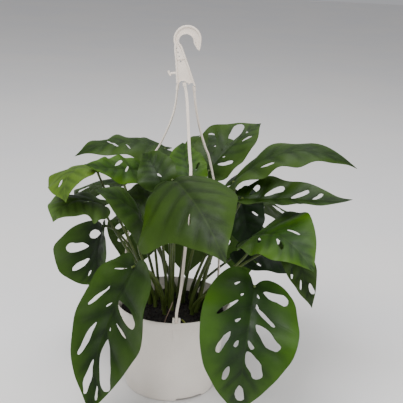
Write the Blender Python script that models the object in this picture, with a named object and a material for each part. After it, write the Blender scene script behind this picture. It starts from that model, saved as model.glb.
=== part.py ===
"""A monstera adansonii in its round hanging pot, with the moulded hook and three flat strands.

Metres, +Z up. The origin is the middle of the pot's underside. The front of the plant looks along -Y.
"""

import math
from collections import namedtuple

import bmesh
import bpy
from mathutils import Matrix, Vector, geometry

UP = Vector((0, 0, 1))
GAP = 0.0003

# Driving dimensions of the pot
POT_HEIGHT = 0.133
RIM_RADIUS = 0.085
BASE_RADIUS = 0.0663
RIM_BAND = 0.010
WALL = 0.0022
FLOOR = 0.005
SOIL_TOP = 0.116
TURNED_SIDES = 48

# Driving dimensions of the hanger
LUG_AZIMUTHS = {"front": -82, "back_right": 38, "back_left": 158}
LUG_WIDTH = 0.011
LUG_DEPTH = 0.0052
LUG_FOOT = 0.0175
EAR_HEIGHT = 0.007
STRAND_WIDTH = 0.0040
STRAND_THICK = 0.0018
HOOK_THICK = 0.005

# The foot's drain notches
NOTCH_AZIMUTHS = (-59, 61, 181)
NOTCH_ANGLE = 38
NOTCH_HEIGHT = 0.003
DRAIN_RADIUS = 0.0035

# Leaves and stalks
BLADE_THICK = 0.0010
STALK_FOOT_RADIUS = 0.0024
STALK_TOP_RADIUS = 0.0016
STALK_SIDES = 6
STALK_STATIONS = 10
STALK_GAP = 0.0005

COLOURS = {
    "pot": ((0.78, 0.75, 0.71), 0.55),
    "hanger": ((0.82, 0.79, 0.74), 0.45),
    "soil": ((0.020, 0.013, 0.010), 0.95),
    "blade": ((0.055, 0.150, 0.022), 0.45),
    "stalk": ((0.095, 0.150, 0.040), 0.50),
    "root": ((0.330, 0.230, 0.190), 0.70),
    "shoot": ((0.260, 0.300, 0.050), 0.55),
}

for old in list(bpy.data.objects):
    bpy.data.objects.remove(old)


def finish(name, bm, colour, location=(0, 0, 0)):
    """Puts a bmesh in the scene as one named sub-part with its own material."""
    mesh = bpy.data.meshes.new(name)
    bm.to_mesh(mesh)
    bm.free()
    mesh.shade_smooth()
    mesh.set_sharp_from_angle(angle=math.radians(35))
    rgb, roughness = COLOURS[colour]
    material = bpy.data.materials.new(name)
    material.use_nodes = True
    shader = material.node_tree.nodes["Principled BSDF"]
    shader.inputs["Base Color"].default_value = (*rgb, 1)
    shader.inputs["Roughness"].default_value = roughness
    shader.inputs["Metallic"].default_value = 0
    mesh.materials.append(material)
    part = bpy.data.objects.new(name, mesh)
    part.location = location
    bpy.context.scene.collection.objects.link(part)
    return part


def combine(part, other, operation):
    """Adds a Boolean, and turns the other object into a hidden guide."""
    other.hide_render = True
    other.display_type = "WIRE"
    modifier = part.modifiers.new(other.name, "BOOLEAN")
    modifier.operation = operation
    modifier.object = other


def turned(profile, sides):
    """A closed solid from a profile of (radius, height) points that starts and ends on the axis."""
    bm = bmesh.new()
    verts = [bm.verts.new((r, 0, z)) for r, z in profile]
    edges = [bm.edges.new(pair) for pair in zip(verts, verts[1:])]
    bmesh.ops.spin(
        bm, geom=verts + edges, cent=(0, 0, 0), axis=(0, 0, 1), angle=2 * math.pi,
        steps=sides, use_merge=True,
    )
    bmesh.ops.remove_doubles(bm, verts=bm.verts, dist=1e-6)
    bmesh.ops.recalc_face_normals(bm, faces=bm.faces)
    return bm


def prism(outline, low, high, across="Y"):
    """A flat outline pushed through from low to high, across Y for an (x, z) outline or across Z."""
    bm = bmesh.new()
    place = {"Y": lambda a, b, t: (a, t, b), "Z": lambda a, b, t: (a, b, t)}[across]
    rows = [[bm.verts.new(place(a, b, t)) for a, b in outline] for t in (low, high)]
    bm.faces.new(rows[0])
    bm.faces.new(reversed(rows[1]))
    for i in range(len(outline)):
        j = (i + 1) % len(outline)
        bm.faces.new((rows[0][j], rows[0][i], rows[1][i], rows[1][j]))
    bmesh.ops.recalc_face_normals(bm, faces=bm.faces)
    return bm


def arc(centre, radius, start, end, steps):
    """Points of an arc in degrees, both ends included."""
    angles = [math.radians(start + (end - start) * i / steps) for i in range(steps + 1)]
    return [(centre[0] + radius * math.cos(a), centre[1] + radius * math.sin(a)) for a in angles]


def wall_radius(z):
    """Outer radius of the pot's plain wall at a height."""
    return BASE_RADIUS + (RIM_RADIUS - 0.0008 - BASE_RADIUS) * z / POT_HEIGHT


def polar(radius, azimuth, z=0.0):
    angle = math.radians(azimuth)
    return Vector((radius * math.cos(angle), radius * math.sin(angle), z))


def build_pot():
    band_foot = POT_HEIGHT - RIM_BAND
    profile = [
        (0, 0),
        (BASE_RADIUS - 0.001, 0),
        (BASE_RADIUS, 0.001),
        (wall_radius(band_foot - 0.001), band_foot - 0.001),
        (RIM_RADIUS, band_foot),
        (RIM_RADIUS, POT_HEIGHT - 0.001),
        (RIM_RADIUS - 0.001, POT_HEIGHT),
        (RIM_RADIUS - WALL, POT_HEIGHT),
        (RIM_RADIUS - WALL - 0.0008, POT_HEIGHT - 0.0012),
        (wall_radius(FLOOR) - WALL, FLOOR),
        (0, FLOOR),
    ]
    pot = finish("pot", turned(profile, TURNED_SIDES), "pot")
    for name, azimuth in LUG_AZIMUTHS.items():
        combine(pot, lug_guide(f"lug_{name}", azimuth), "UNION")
        combine(pot, socket_guide(f"socket_{name}", azimuth), "DIFFERENCE")
    for azimuth in NOTCH_AZIMUTHS:
        combine(pot, notch_guide(f"notch_{azimuth}", azimuth), "DIFFERENCE")
        hole = turned([(0, -0.001), (DRAIN_RADIUS, -0.001), (DRAIN_RADIUS, 0.01), (0, 0.01)], 10)
        hole_place = polar(BASE_RADIUS - 0.016, azimuth)
        combine(pot, finish(f"drain_{azimuth}", hole, "pot", hole_place), "DIFFERENCE")


def lug_guide(name, azimuth):
    """A strand lug: a block behind the rim whose two ears rise above it."""
    half = LUG_WIDTH / 2
    foot, top = POT_HEIGHT - LUG_FOOT, POT_HEIGHT + EAR_HEIGHT
    outline = [
        (-half, foot + 0.003), (-half + 0.003, foot), (half - 0.003, foot), (half, foot + 0.003),
        (half, POT_HEIGHT + 0.002), (half - 0.0022, top), (-half + 0.0022, top),
        (-half, POT_HEIGHT + 0.002),
    ]
    outer = RIM_RADIUS - 0.0003
    lug = finish(name, prism(outline, outer - LUG_DEPTH, outer), "pot")
    lug.rotation_euler.z = math.radians(azimuth - 90)
    return lug


def socket_guide(name, azimuth):
    """The slot between the ears that the strand's end drops into."""
    half = STRAND_WIDTH / 2 + GAP
    middle = RIM_RADIUS - 0.0003 - LUG_DEPTH / 2
    reach = STRAND_THICK / 2 + GAP
    outline = [(-half, POT_HEIGHT - 0.012), (half, POT_HEIGHT - 0.012), (half, 0.2), (-half, 0.2)]
    socket = finish(name, prism(outline, middle - reach, middle + reach), "pot")
    socket.rotation_euler.z = math.radians(azimuth - 90)
    return socket


def notch_guide(name, azimuth):
    """A drain notch in the foot: a wedge from the drain hole out past the edge."""
    half = NOTCH_ANGLE / 2
    inner = [polar(0.045, azimuth + a) for a in (half * 0.6, -half * 0.6)]
    outer = [polar(0.08, azimuth + a) for a in (-half, 0, half)]
    return finish(name, prism([p.xy for p in inner + outer], -0.001, NOTCH_HEIGHT, "Z"), "pot")


def build_soil():
    inset = WALL + GAP + 0.0005
    lug_inset = LUG_DEPTH + 0.001
    shoulder = POT_HEIGHT - LUG_FOOT - 0.002
    profile = [
        (0, FLOOR + GAP),
        (wall_radius(FLOOR) - inset, FLOOR + GAP),
        (wall_radius(shoulder) - inset, shoulder),
        (wall_radius(SOIL_TOP) - lug_inset, SOIL_TOP),
        (0.040, SOIL_TOP),
        (0, SOIL_TOP),
    ]
    finish("soil", turned(profile, TURNED_SIDES), "soil")


def hook_outline():
    """The hook seen from the front, as (x, z) points: crook, tip, shank, two arches, barb."""
    crook = arc((0.0055, 0.5145), 0.0190, 205, -14, 18)
    tip = [(0.0238, 0.5050), (0.0218, 0.4995), (0.0190, 0.5025), (0.0155, 0.5085)]
    inner = arc((0.0040, 0.5115), 0.0098, -5, 190, 14)
    right_edge = [(-0.0015, 0.5055), (0.0040, 0.4920), (0.0120, 0.4716), (0.0194, 0.4512)]
    arches = (
        arc((0.0142, 0.4520), 0.0036, 10, 150, 5)
        + arc((0.0020, 0.4520), 0.0058, 40, 165, 6)
    )
    barb = [
        (-0.0076, 0.4535), (-0.0085, 0.4660), (-0.0123, 0.4663), (-0.0155, 0.4637),
        (-0.0185, 0.4668), (-0.0198, 0.4710), (-0.0135, 0.4715), (-0.0088, 0.4690),
    ]
    left_edge = [(-0.0104, 0.4880), (-0.0122, 0.4990)]
    return crook + tip + inner + right_edge + arches + barb + left_edge


def hook_pockets():
    """The sunk fields between the rails, which leave a thin web."""
    crook = arc((0.0055, 0.5145), 0.0160, 178, 8, 12) + arc((0.0040, 0.5115), 0.0122, 22, 172, 12)
    shank = [(-0.0038, 0.4860), (0.0024, 0.4860), (0.0128, 0.4610), (-0.0032, 0.4625)]
    return {"crook": crook, "shank": shank}


def build_hook():
    half, web = HOOK_THICK / 2, 0.0007
    hook = finish("hanger_hook", prism(hook_outline(), -half, half), "hanger")
    for name, outline in hook_pockets().items():
        for side, low, high in (("front", -half - 0.001, -web), ("back", web, half + 0.001)):
            guide = finish(f"pocket_{name}_{side}", prism(outline, low, high), "hanger")
            combine(hook, guide, "DIFFERENCE")
    for i in range(5):
        x, z = -0.0106 + 0.0019 * i, 0.5072 - 0.0054 * i
        hole = prism(arc((x, z), 0.0011, 0, 300, 5), -half - 0.001, half + 0.001)
        combine(hook, finish(f"web_hole_{i + 1}", hole, "hanger"), "DIFFERENCE")


def smooth_path(points, steps):
    """Points along a Catmull-Rom curve through the given ones, steps to a span."""
    pts = [Vector(p) for p in points]
    pts = [2 * pts[0] - pts[1]] + pts + [2 * pts[-1] - pts[-2]]
    path = []
    for a, b, c, d in zip(pts, pts[1:], pts[2:], pts[3:]):
        for i in range(steps):
            t = i / steps
            path.append(
                0.5 * (2 * b + (c - a) * t + (2 * a - 5 * b + 4 * c - d) * t**2
                       + (3 * b - a - 3 * c + d) * t**3)
            )
    return path + [pts[-2]]


def sweep(path, ring, facing=None, foot=None, top=None):
    """A closed solid along a path. ring(t) gives the (across, out) points of a section.

    facing keeps a flat section turned one way; foot and top mitre the end sections to a normal.
    """
    bm = bmesh.new()
    rows = []
    side = None
    for i, point in enumerate(path):
        ahead = (path[min(i + 1, len(path) - 1)] - path[max(i - 1, 0)]).normalized()
        if facing is not None:
            side = facing.cross(ahead).normalized()
        elif side is None:
            side = ahead.cross(Vector((0, 1, 0.1))).normalized()
        else:
            side = (side - side.dot(ahead) * ahead).normalized()
        out = ahead.cross(side)
        section = ring(i / (len(path) - 1))
        rows.append([bm.verts.new(point + side * a + out * b) for a, b in section])
    for row, point, ahead, normal in (
        (rows[0], path[0], path[1] - path[0], foot),
        (rows[-1], path[-1], path[-1] - path[-2], top),
    ):
        if normal is not None:
            for vert in row:
                vert.co += ahead * (point - vert.co).dot(normal) / ahead.dot(normal)
    for low, high in zip(rows, rows[1:]):
        for j in range(len(low)):
            k = (j + 1) % len(low)
            bm.faces.new((low[j], low[k], high[k], high[j]))
    bm.faces.new(rows[0])
    bm.faces.new(rows[-1])
    bmesh.ops.recalc_face_normals(bm, faces=bm.faces)
    return bm


def round_ring(foot_radius, top_radius, sides):
    def ring(t):
        radius = foot_radius + (top_radius - foot_radius) * t
        return [
            (radius * math.cos(2 * math.pi * j / sides), radius * math.sin(2 * math.pi * j / sides))
            for j in range(sides)
        ]
    return ring


# Each strand's course from the hook down to just above its socket
STRAND_POINTS = {
    "front": [
        (0.0033, 0.0000, 0.4558), (0.0084, -0.0020, 0.4320), (0.0157, -0.0200, 0.3660),
        (0.0193, -0.0300, 0.3400), (0.0202, -0.0450, 0.3020), (0.0199, -0.0560, 0.2770),
        (0.0186, -0.0680, 0.2425), (0.0172, -0.0770, 0.2115), (0.0155, -0.0815, 0.1820),
    ],
    "back_left": [
        (-0.0052, 0.0000, 0.4528), (-0.0078, 0.0010, 0.4220), (-0.0145, 0.0030, 0.3960),
        (-0.0276, 0.0070, 0.3640), (-0.0401, 0.0100, 0.3410), (-0.0580, 0.0190, 0.2850),
        (-0.0700, 0.0270, 0.2300), (-0.0755, 0.0303, 0.1750),
    ],
    "back_right": [
        (0.0170, 0.0002, 0.4508), (0.0199, 0.0030, 0.4275), (0.0232, 0.0060, 0.4085),
        (0.0282, 0.0100, 0.3875), (0.0357, 0.0140, 0.3635), (0.0430, 0.0180, 0.3440),
        (0.0560, 0.0310, 0.2850), (0.0625, 0.0430, 0.2300), (0.0645, 0.0490, 0.1750),
    ],
}


def build_strands():
    a, b = STRAND_WIDTH / 2, STRAND_THICK / 2
    section = [(a, -b), (a, b), (-a, b), (-a, -b)]
    seat = RIM_RADIUS - 0.0003 - LUG_DEPTH / 2
    for name, azimuth in LUG_AZIMUTHS.items():
        ends = [polar(seat, azimuth, z) for z in (0.150, 0.138, POT_HEIGHT - 0.012 + GAP)]
        path = smooth_path(STRAND_POINTS[name] + ends, 3)
        strand = sweep(path, lambda t: section, facing=polar(1, azimuth))
        finish(f"hanger_strand_{name}", strand, "hanger")


# A leaf runs from base to tip, its upper face looks along face, and its size follows from those.
# width is the whole blade's width; skew makes one half wider; arch, sway and cup are the bow of the
# midrib out of and in its plane and the droop of both halves; twist turns the tip end, in degrees.
# root is where the stalk leaves the soil, and rise is how upright the stalk stays.
Leaf = namedtuple("Leaf", "base tip face width skew arch sway cup twist root rise")

# A leaf's holes lie between its side veins. Each has an inner end and an outer end, both as (along
# the midrib, across as a share of the half width, right half positive), and a width as a share of
# the leaf's length.
BOTH_SIDES = [
    (along, side * 0.24, along + 0.15, side * 0.76, 0.075)
    for along in (0.06, 0.27, 0.48) for side in (1, -1)
]
FEW_HOLES = [(0.18, 0.26, 0.30, 0.68, 0.05), (0.36, -0.28, 0.50, -0.72, 0.05)]
HOLES = {
    "shield_front": [(0.57, 0.22, 0.66, 0.42, 0.020)],
    "low_right": [
        (0.03, -0.24, 0.07, -0.84, 0.085), (0.15, -0.08, 0.26, -0.52, 0.032),
        (0.27, -0.13, 0.43, -0.68, 0.085), (0.39, -0.03, 0.45, -0.15, 0.034),
        (0.47, -0.04, 0.67, -0.52, 0.100), (0.74, 0.05, 0.87, -0.18, 0.075),
        (0.35, 0.36, 0.50, 0.64, 0.052), (0.40, 0.18, 0.45, 0.25, 0.030),
        (0.59, 0.36, 0.70, 0.58, 0.048), (0.14, 0.32, 0.26, 0.70, 0.030),
    ],
    "low_left": [
        (0.18, 0.42, 0.34, 0.73, 0.030), (0.24, -0.08, 0.36, -0.72, 0.080),
        (0.38, -0.20, 0.45, -0.56, 0.018), (0.42, 0.30, 0.65, 0.70, 0.045),
        (0.50, -0.14, 0.84, -0.80, 0.100), (0.65, 0.10, 0.88, 0.76, 0.050),
        (0.81, -0.20, 0.91, -0.50, 0.020),
    ],
    "round_left": [
        (0.12, 0.03, 0.11, 0.44, 0.110), (0.28, 0.34, 0.27, 0.82, 0.110),
        (0.47, 0.28, 0.57, 0.74, 0.110), (0.66, 0.24, 0.74, 0.44, 0.050),
    ],
    "top_left": [(0.64, 0.24, 0.53, -0.50, 0.028), (0.45, -0.34, 0.40, -0.62, 0.024)],
    "pale_left": [(0.62, 0.22, 0.75, 0.40, 0.030)],
    "gold_left": [(0.46, 0.22, 0.27, 0.60, 0.045), (0.32, -0.18, 0.21, 0.22, 0.030)],
    "curled_left": [(0.14, -0.04, 0.37, -0.20, 0.030)],
    "centre_upright": [(0.20, 0.42, 0.36, 0.68, 0.040)],
    "inner_left_upper": [(0.18, 0.18, 0.28, 0.02, 0.040)],
    "inner_left_dark": [(0.50, 0.50, 0.65, 0.72, 0.040)],
    "top_right": [
        (0.46, -0.14, 0.80, -0.82, 0.130), (0.18, -0.30, 0.41, -0.80, 0.120),
        (0.14, 0.14, 0.27, 0.64, 0.065), (0.58, 0.24, 0.73, 0.50, 0.035),
    ],
    "long_right": [(0.24, 0.48, 0.36, 0.62, 0.032)],
    "pierced_right": [
        (0.07, -0.20, 0.14, -0.72, 0.060), (0.21, -0.16, 0.38, -0.66, 0.060),
        (0.46, -0.04, 0.61, -0.62, 0.060), (0.65, -0.06, 0.74, -0.66, 0.045),
        (0.22, 0.36, 0.32, 0.80, 0.055),
    ],
    "folded_right": [
        (0.43, -0.26, 0.62, -0.42, 0.026), (0.20, 0.26, 0.31, 0.52, 0.040),
        (0.45, 0.14, 0.62, 0.42, 0.050),
    ],
    "hanging_right": [
        (0.66, -0.36, 0.82, -0.76, 0.080), (0.58, 0.26, 0.72, 0.66, 0.030),
        (0.38, 0.50, 0.54, 0.84, 0.030),
    ],
    "shaded_right": [(0.28, 0.50, 0.46, 0.72, 0.030)],
    "inner_right_dark": [(0.34, -0.40, 0.42, -0.66, 0.030)],
    "back_left": BOTH_SIDES,
    "back_right": BOTH_SIDES,
    "back_low_left": BOTH_SIDES,
    "back_low_right": BOTH_SIDES,
    "back_centre": BOTH_SIDES,
    "back_top": FEW_HOLES,
}

LEAVES = {
    "shield_front": Leaf(
        (-0.004, -0.064, 0.336), (0.076, -0.214, 0.279), (-0.08, -0.51, 0.86), 0.131, 0.08,
        0.16, 0.00, 0.50, 11, (-0.001, -0.001), 0.4,
    ),
    "low_right": Leaf(
        (0.115, -0.130, 0.219), (0.101, -0.181, 0.056), (0.20, -0.88, 0.43), 0.128, 0.0,
        0.26, 0.06, -0.12, 8, (0.030, -0.012), 0.4,
    ),
    "low_left": Leaf(
        (-0.047, -0.126, 0.233), (-0.090, -0.202, 0.053), (-0.74, -0.47, 0.49), 0.136, -0.17,
        0.05, 0.03, -0.15, -33, (-0.010, -0.018), 0.4,
    ),
    "round_left": Leaf(
        (-0.107, 0.004, 0.240), (-0.103, -0.063, 0.174), (-0.79, 0.09, 0.60), 0.128, 0.20,
        0.0, 0.09, -0.40, -20, (-0.032, 0.022), 0.4,
    ),
    "top_left": Leaf(
        (-0.023, 0.067, 0.343), (-0.153, 0.032, 0.334), (-0.07, -0.06, 1.00), 0.075, 0.0,
        0.12, 0.03, 0.30, -15, (-0.007, 0.033), 0.4,
    ),
    "pale_left": Leaf(
        (-0.116, -0.001, 0.332), (-0.134, -0.130, 0.316), (-0.36, -0.46, 0.81), 0.081, 0.0,
        0.13, 0.09, 0.17, 4, (-0.035, 0.016), 0.4,
    ),
    "gold_left": Leaf(
        (-0.052, -0.008, 0.331), (-0.119, -0.083, 0.355), (0.05, -0.70, 0.71), 0.051, 0.0,
        0.0, -0.03, 0.09, 13, (-0.010, 0.027), 0.7,
    ),
    "curled_left": Leaf(
        (-0.099, -0.024, 0.281), (-0.158, -0.097, 0.276), (-0.09, -0.42, 0.91), 0.082, 0.0,
        0.12, 0.17, 0.31, 6, (-0.026, 0.010), 0.4,
    ),
    "slanting_left": Leaf(
        (-0.040, -0.059, 0.254), (-0.101, -0.116, 0.332), (0.56, -0.24, 0.80), 0.076, 0.09,
        0.19, -0.08, 0.33, -23, (-0.013, -0.001), 0.4,
    ),
    "centre_upright": Leaf(
        (0.020, -0.011, 0.317), (0.001, 0.065, 0.354), (-0.01, -0.80, 0.60), 0.058, 0.0,
        0.09, -0.03, 0.12, 0, (0.008, 0.016), 0.4,
    ),
    "inner_left_upper": Leaf(
        (-0.019, -0.046, 0.319), (-0.050, -0.005, 0.353), (-0.16, -0.85, 0.51), 0.056, 0.0,
        0.15, 0.07, 0.0, -6, (-0.004, 0.005), 0.4,
    ),
    "inner_left_dark": Leaf(
        (-0.039, -0.005, 0.302), (-0.067, -0.036, 0.253), (-0.14, -0.78, 0.61), 0.050, 0.0,
        0.07, 0.0, 0.0, 0, (-0.010, 0.016), 0.4,
    ),
    "top_right": Leaf(
        (0.041, 0.046, 0.318), (0.115, 0.102, 0.381), (-0.22, -0.58, 0.78), 0.086, 0.0,
        0.09, 0.0, -0.30, 0, (0.014, 0.027), 0.4,
    ),
    "long_right": Leaf(
        (0.077, 0.008, 0.315), (0.250, 0.004, 0.347), (0.00, -0.13, 0.99), 0.078, 0.0,
        0.22, 0.0, 0.18, 10, (0.027, 0.016), 0.4,
    ),
    "pierced_right": Leaf(
        (0.091, -0.023, 0.303), (0.239, -0.065, 0.323), (0.07, -0.33, 0.94), 0.062, 0.0,
        0.01, 0.02, -0.43, 2, (0.027, 0.005), 0.4,
    ),
    "folded_right": Leaf(
        (0.109, -0.056, 0.258), (0.190, -0.140, 0.245), (0.19, -0.53, 0.83), 0.100, -0.09,
        0.22, -0.02, 0.0, 28, (0.036, -0.001), 0.4,
    ),
    "hanging_right": Leaf(
        (0.163, -0.033, 0.247), (0.197, -0.082, 0.169), (0.29, -0.79, 0.53), 0.048, 0.0,
        0.06, 0.0, 0.07, 4, (0.045, 0.016), 0.4,
    ),
    "shaded_right": Leaf(
        (0.092, 0.059, 0.194), (0.186, 0.024, 0.172), (0.14, -0.43, 0.89), 0.065, 0.0,
        0.11, 0.0, 0.09, 0, (0.027, 0.038), 0.55,
    ),
    "inner_right_dark": Leaf(
        (0.089, 0.068, 0.283), (0.110, -0.023, 0.223), (-0.14, -0.81, 0.57), 0.061, 0.0,
        -0.04, 0.0, 0.14, 5, (0.030, 0.033), 0.4,
    ),
    "back_left": Leaf(
        (-0.085, 0.065, 0.290), (-0.165, 0.145, 0.215), (-0.40, 0.50, 0.77), 0.095, 0.0,
        0.12, 0.0, 0.12, 0, (-0.026, 0.033), 0.4,
    ),
    "back_right": Leaf(
        (0.088, 0.108, 0.265), (0.172, 0.178, 0.185), (0.40, 0.50, 0.77), 0.100, 0.0,
        0.12, 0.0, 0.12, 0, (0.024, 0.044), 0.4,
    ),
    "back_low_left": Leaf(
        (-0.052, 0.112, 0.235), (-0.086, 0.178, 0.095), (-0.25, 0.82, 0.50), 0.118, 0.0,
        0.12, 0.04, 0.10, 0, (-0.025, 0.046), 0.4,
    ),
    "back_low_right": Leaf(
        (0.082, 0.118, 0.225), (0.108, 0.184, 0.090), (0.20, 0.84, 0.50), 0.116, 0.0,
        0.12, -0.04, 0.10, 0, (0.030, 0.044), 0.4,
    ),
    "back_centre": Leaf(
        (0.016, 0.094, 0.245), (0.010, 0.146, 0.108), (0.00, 0.78, 0.62), 0.118, 0.0,
        0.12, 0.0, 0.12, 0, (0.005, 0.044), 0.4,
    ),
    "back_top": Leaf(
        (0.030, 0.085, 0.335), (0.060, 0.190, 0.330), (0.10, 0.10, 1.00), 0.075, 0.0,
        0.12, 0.0, 0.15, 0, (0.008, 0.038), 0.4,
    ),
}

# Half of a blade's outline as (along the midrib, across as a share of the half width)
HALF_OUTLINE = [
    (0.00, 0.00), (-0.045, 0.14), (-0.065, 0.34), (-0.035, 0.60), (0.06, 0.85), (0.18, 0.97),
    (0.32, 1.00), (0.48, 0.92), (0.63, 0.74), (0.77, 0.50), (0.88, 0.25), (0.95, 0.09), (1.00, 0.0),
]


def half_width(leaf, side):
    return 0.5 * leaf.width * (1 + side * leaf.skew)


def reach(along):
    """Share of the half width that the blade has at a place along the midrib."""
    for (a, wide_a), (b, wide_b) in zip(HALF_OUTLINE[4:], HALF_OUTLINE[5:]):
        if along <= b:
            return wide_a + (wide_b - wide_a) * (along - a) / (b - a)
    return 0.0


def hole_outline(leaf, hole, points=8):
    """A hole as a ring of (along, across): a drop with its narrow end towards the midrib."""
    length = (Vector(leaf.tip) - Vector(leaf.base)).length
    ends = []
    for along, share in (hole[0:2], hole[2:4]):
        half = half_width(leaf, 1 if share > 0 else -1)
        ends.append(Vector((along * length, share * reach(along) * half)))
    axis = ends[1] - ends[0]
    normal = axis.orthogonal().normalized() * hole[4] * length / 2
    ring = []
    for i in range(points):
        angle = 2 * math.pi * i / points
        part = (1 - math.cos(angle)) / 2
        spot = ends[0] + axis * part + normal * math.sin(angle) * (0.75 + 0.4 * part)
        ring.append((spot.x / length, spot.y))
    return ring


def blade_place(leaf, along, across):
    """A point of the blade's middle surface and the direction its upper face looks there."""
    base, tip = Vector(leaf.base), Vector(leaf.tip)
    length = (tip - base).length
    chord = (tip - base) / length
    face = Vector(leaf.face)
    face = (face - face.dot(chord) * chord).normalized()
    side = chord.cross(face)
    bow = 4 * along * (1 - along)
    slope = 4 * (1 - 2 * along)
    spine = base + chord * length * along + (face * leaf.arch + side * leaf.sway) * length * bow
    ahead = (chord + (face * leaf.arch + side * leaf.sway) * slope).normalized()
    face = (face - face.dot(ahead) * ahead).normalized()
    turn = Matrix.Rotation(math.radians(leaf.twist * along), 3, ahead)
    face = turn @ face
    side = ahead.cross(face)
    share = across / (0.5 * leaf.width)
    drop = leaf.cup * 0.5 * leaf.width * share * share
    return spine + side * across - face * drop, face


def inside(point, ring):
    x, y = point
    hit = False
    for (ax, ay), (bx, by) in zip(ring, ring[1:] + ring[:1]):
        if (ay > y) != (by > y) and x < ax + (bx - ax) * (y - ay) / (by - ay):
            hit = not hit
    return hit


def blade_mesh(leaf, holes):
    """The blade as one closed sheet with its holes cut through."""
    right = [(u, v * half_width(leaf, 1)) for u, v in HALF_OUTLINE]
    left = [(u, -v * half_width(leaf, -1)) for u, v in HALF_OUTLINE[-2:0:-1]]
    length = (Vector(leaf.tip) - Vector(leaf.base)).length
    rings = [right + left] + [hole_outline(leaf, hole) for hole in holes]
    flat, edges = [], []
    for ring in rings:
        first = len(flat)
        flat += ring
        edges += [(first + i, first + (i + 1) % len(ring)) for i in range(len(ring))]
    for along in (0.1, 0.25, 0.4, 0.55, 0.7, 0.85):
        for share in (-0.55, 0, 0.55):
            side = 1 if share > 0 else -1
            spot = (along, share * reach(along) * half_width(leaf, side))
            if not any(inside(spot, ring) for ring in rings[1:]):
                flat.append(spot)
    metric = [Vector((u * length, v)) for u, v in flat]
    spots, _, faces, _, _, _ = geometry.delaunay_2d_cdt(metric, edges, [], 0, 1e-7)
    limits = [[(u * length, v) for u, v in ring] for ring in rings]
    kept = []
    for face in faces:
        middle = sum((spots[i] for i in face), Vector((0, 0))) / len(face)
        if inside(middle, limits[0]) and not any(inside(middle, ring) for ring in limits[1:]):
            kept.append(face)
    bm = bmesh.new()
    layers = {1: {}, -1: {}}
    for i in sorted({i for face in kept for i in face}):
        point, face_dir = blade_place(leaf, spots[i].x / length, spots[i].y)
        for level in layers:
            layers[level][i] = bm.verts.new(point + face_dir * level * BLADE_THICK / 2)
    counts = {}
    for face in kept:
        bm.faces.new([layers[1][i] for i in face])
        bm.faces.new([layers[-1][i] for i in reversed(face)])
        for i, j in zip(face, face[1:] + face[:1]):
            counts[i, j] = counts.get((i, j), 0) + 1
    for i, j in counts:
        if (j, i) not in counts:
            bm.faces.new((layers[1][j], layers[1][i], layers[-1][i], layers[-1][j]))
    bmesh.ops.recalc_face_normals(bm, faces=bm.faces)
    return bm


def stalk_path(leaf):
    """The stalk's course from the soil to the blade's base, and the way the blade faces there."""
    base, tip = Vector(leaf.base), Vector(leaf.tip)
    chord = (tip - base).normalized()
    seat, face = blade_place(leaf, STALK_TOP_RADIUS / (tip - base).length, 0)
    arrive = (face * 0.8 + chord * 0.45).normalized()
    end = seat - face * (BLADE_THICK / 2 + STALK_GAP)
    root = Vector((*leaf.root, SOIL_TOP + GAP))
    span = (end - root).length
    up = UP * span * leaf.rise * 0.55
    before = end - arrive * span * 0.22
    path = []
    for i in range(STALK_STATIONS):
        t = i / (STALK_STATIONS - 1)
        path.append(
            root * (1 - t) ** 3 + 3 * (root + up) * t * (1 - t) ** 2
            + 3 * before * t**2 * (1 - t) + end * t**3
        )
    return path, face


def build_leaves():
    ring = round_ring(STALK_FOOT_RADIUS, STALK_TOP_RADIUS, STALK_SIDES)
    for name, leaf in LEAVES.items():
        finish(f"leaf_{name}", blade_mesh(leaf, HOLES.get(name, [])), "blade")
        path, face = stalk_path(leaf)
        finish(f"stalk_{name}", sweep(path, ring, foot=UP, top=face), "stalk")


VINES = {
    "vine_left": [(0.001, 0.067, SOIL_TOP + GAP), (-0.019, 0.067, 0.163), (-0.038, 0.067, 0.201)],
    "vine_right": [(0.036, 0.009, SOIL_TOP + GAP), (0.045, 0.009, 0.165), (0.054, 0.008, 0.205)],
}
AERIAL_ROOT = [
    (-0.008, -0.060, SOIL_TOP + GAP), (-0.005, -0.054, 0.126), (0.000, -0.046, 0.138),
    (0.003, -0.040, 0.146),
]
SHOOT = [(0.024, -0.056, SOIL_TOP + GAP), (0.022, -0.055, 0.121), (0.017, -0.054, 0.126)]


def build_stems():
    for name, points in VINES.items():
        vine = sweep(smooth_path(points, 4), round_ring(0.0034, 0.0026, 8), foot=UP)
        finish(name, vine, "stalk")
    root = sweep(smooth_path(AERIAL_ROOT, 3), round_ring(0.0008, 0.0007, 6), foot=UP)
    finish("aerial_root", root, "root")
    shoot = sweep(smooth_path(SHOOT, 3), round_ring(0.0018, 0.0010, 6), foot=UP)
    finish("young_shoot", shoot, "shoot")


build_pot()
build_soil()
build_hook()
build_strands()
build_leaves()
build_stems()
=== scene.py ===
# %% [markdown]
# # A monstera adansonii in its hanging pot
#
# The plant is a young vine: pierced, pointed leaves on slender stalks that all rise from a pot of dark
# peat. The pot is one off-white moulding with a hook and three flat strands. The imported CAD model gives
# the frame, and each part below is built again inside it with its real thickness, veins and finish.

import math
from collections import namedtuple

import bmesh
import bpy
import numpy as np
from mathutils import Matrix, Vector, geometry, noise


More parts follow.
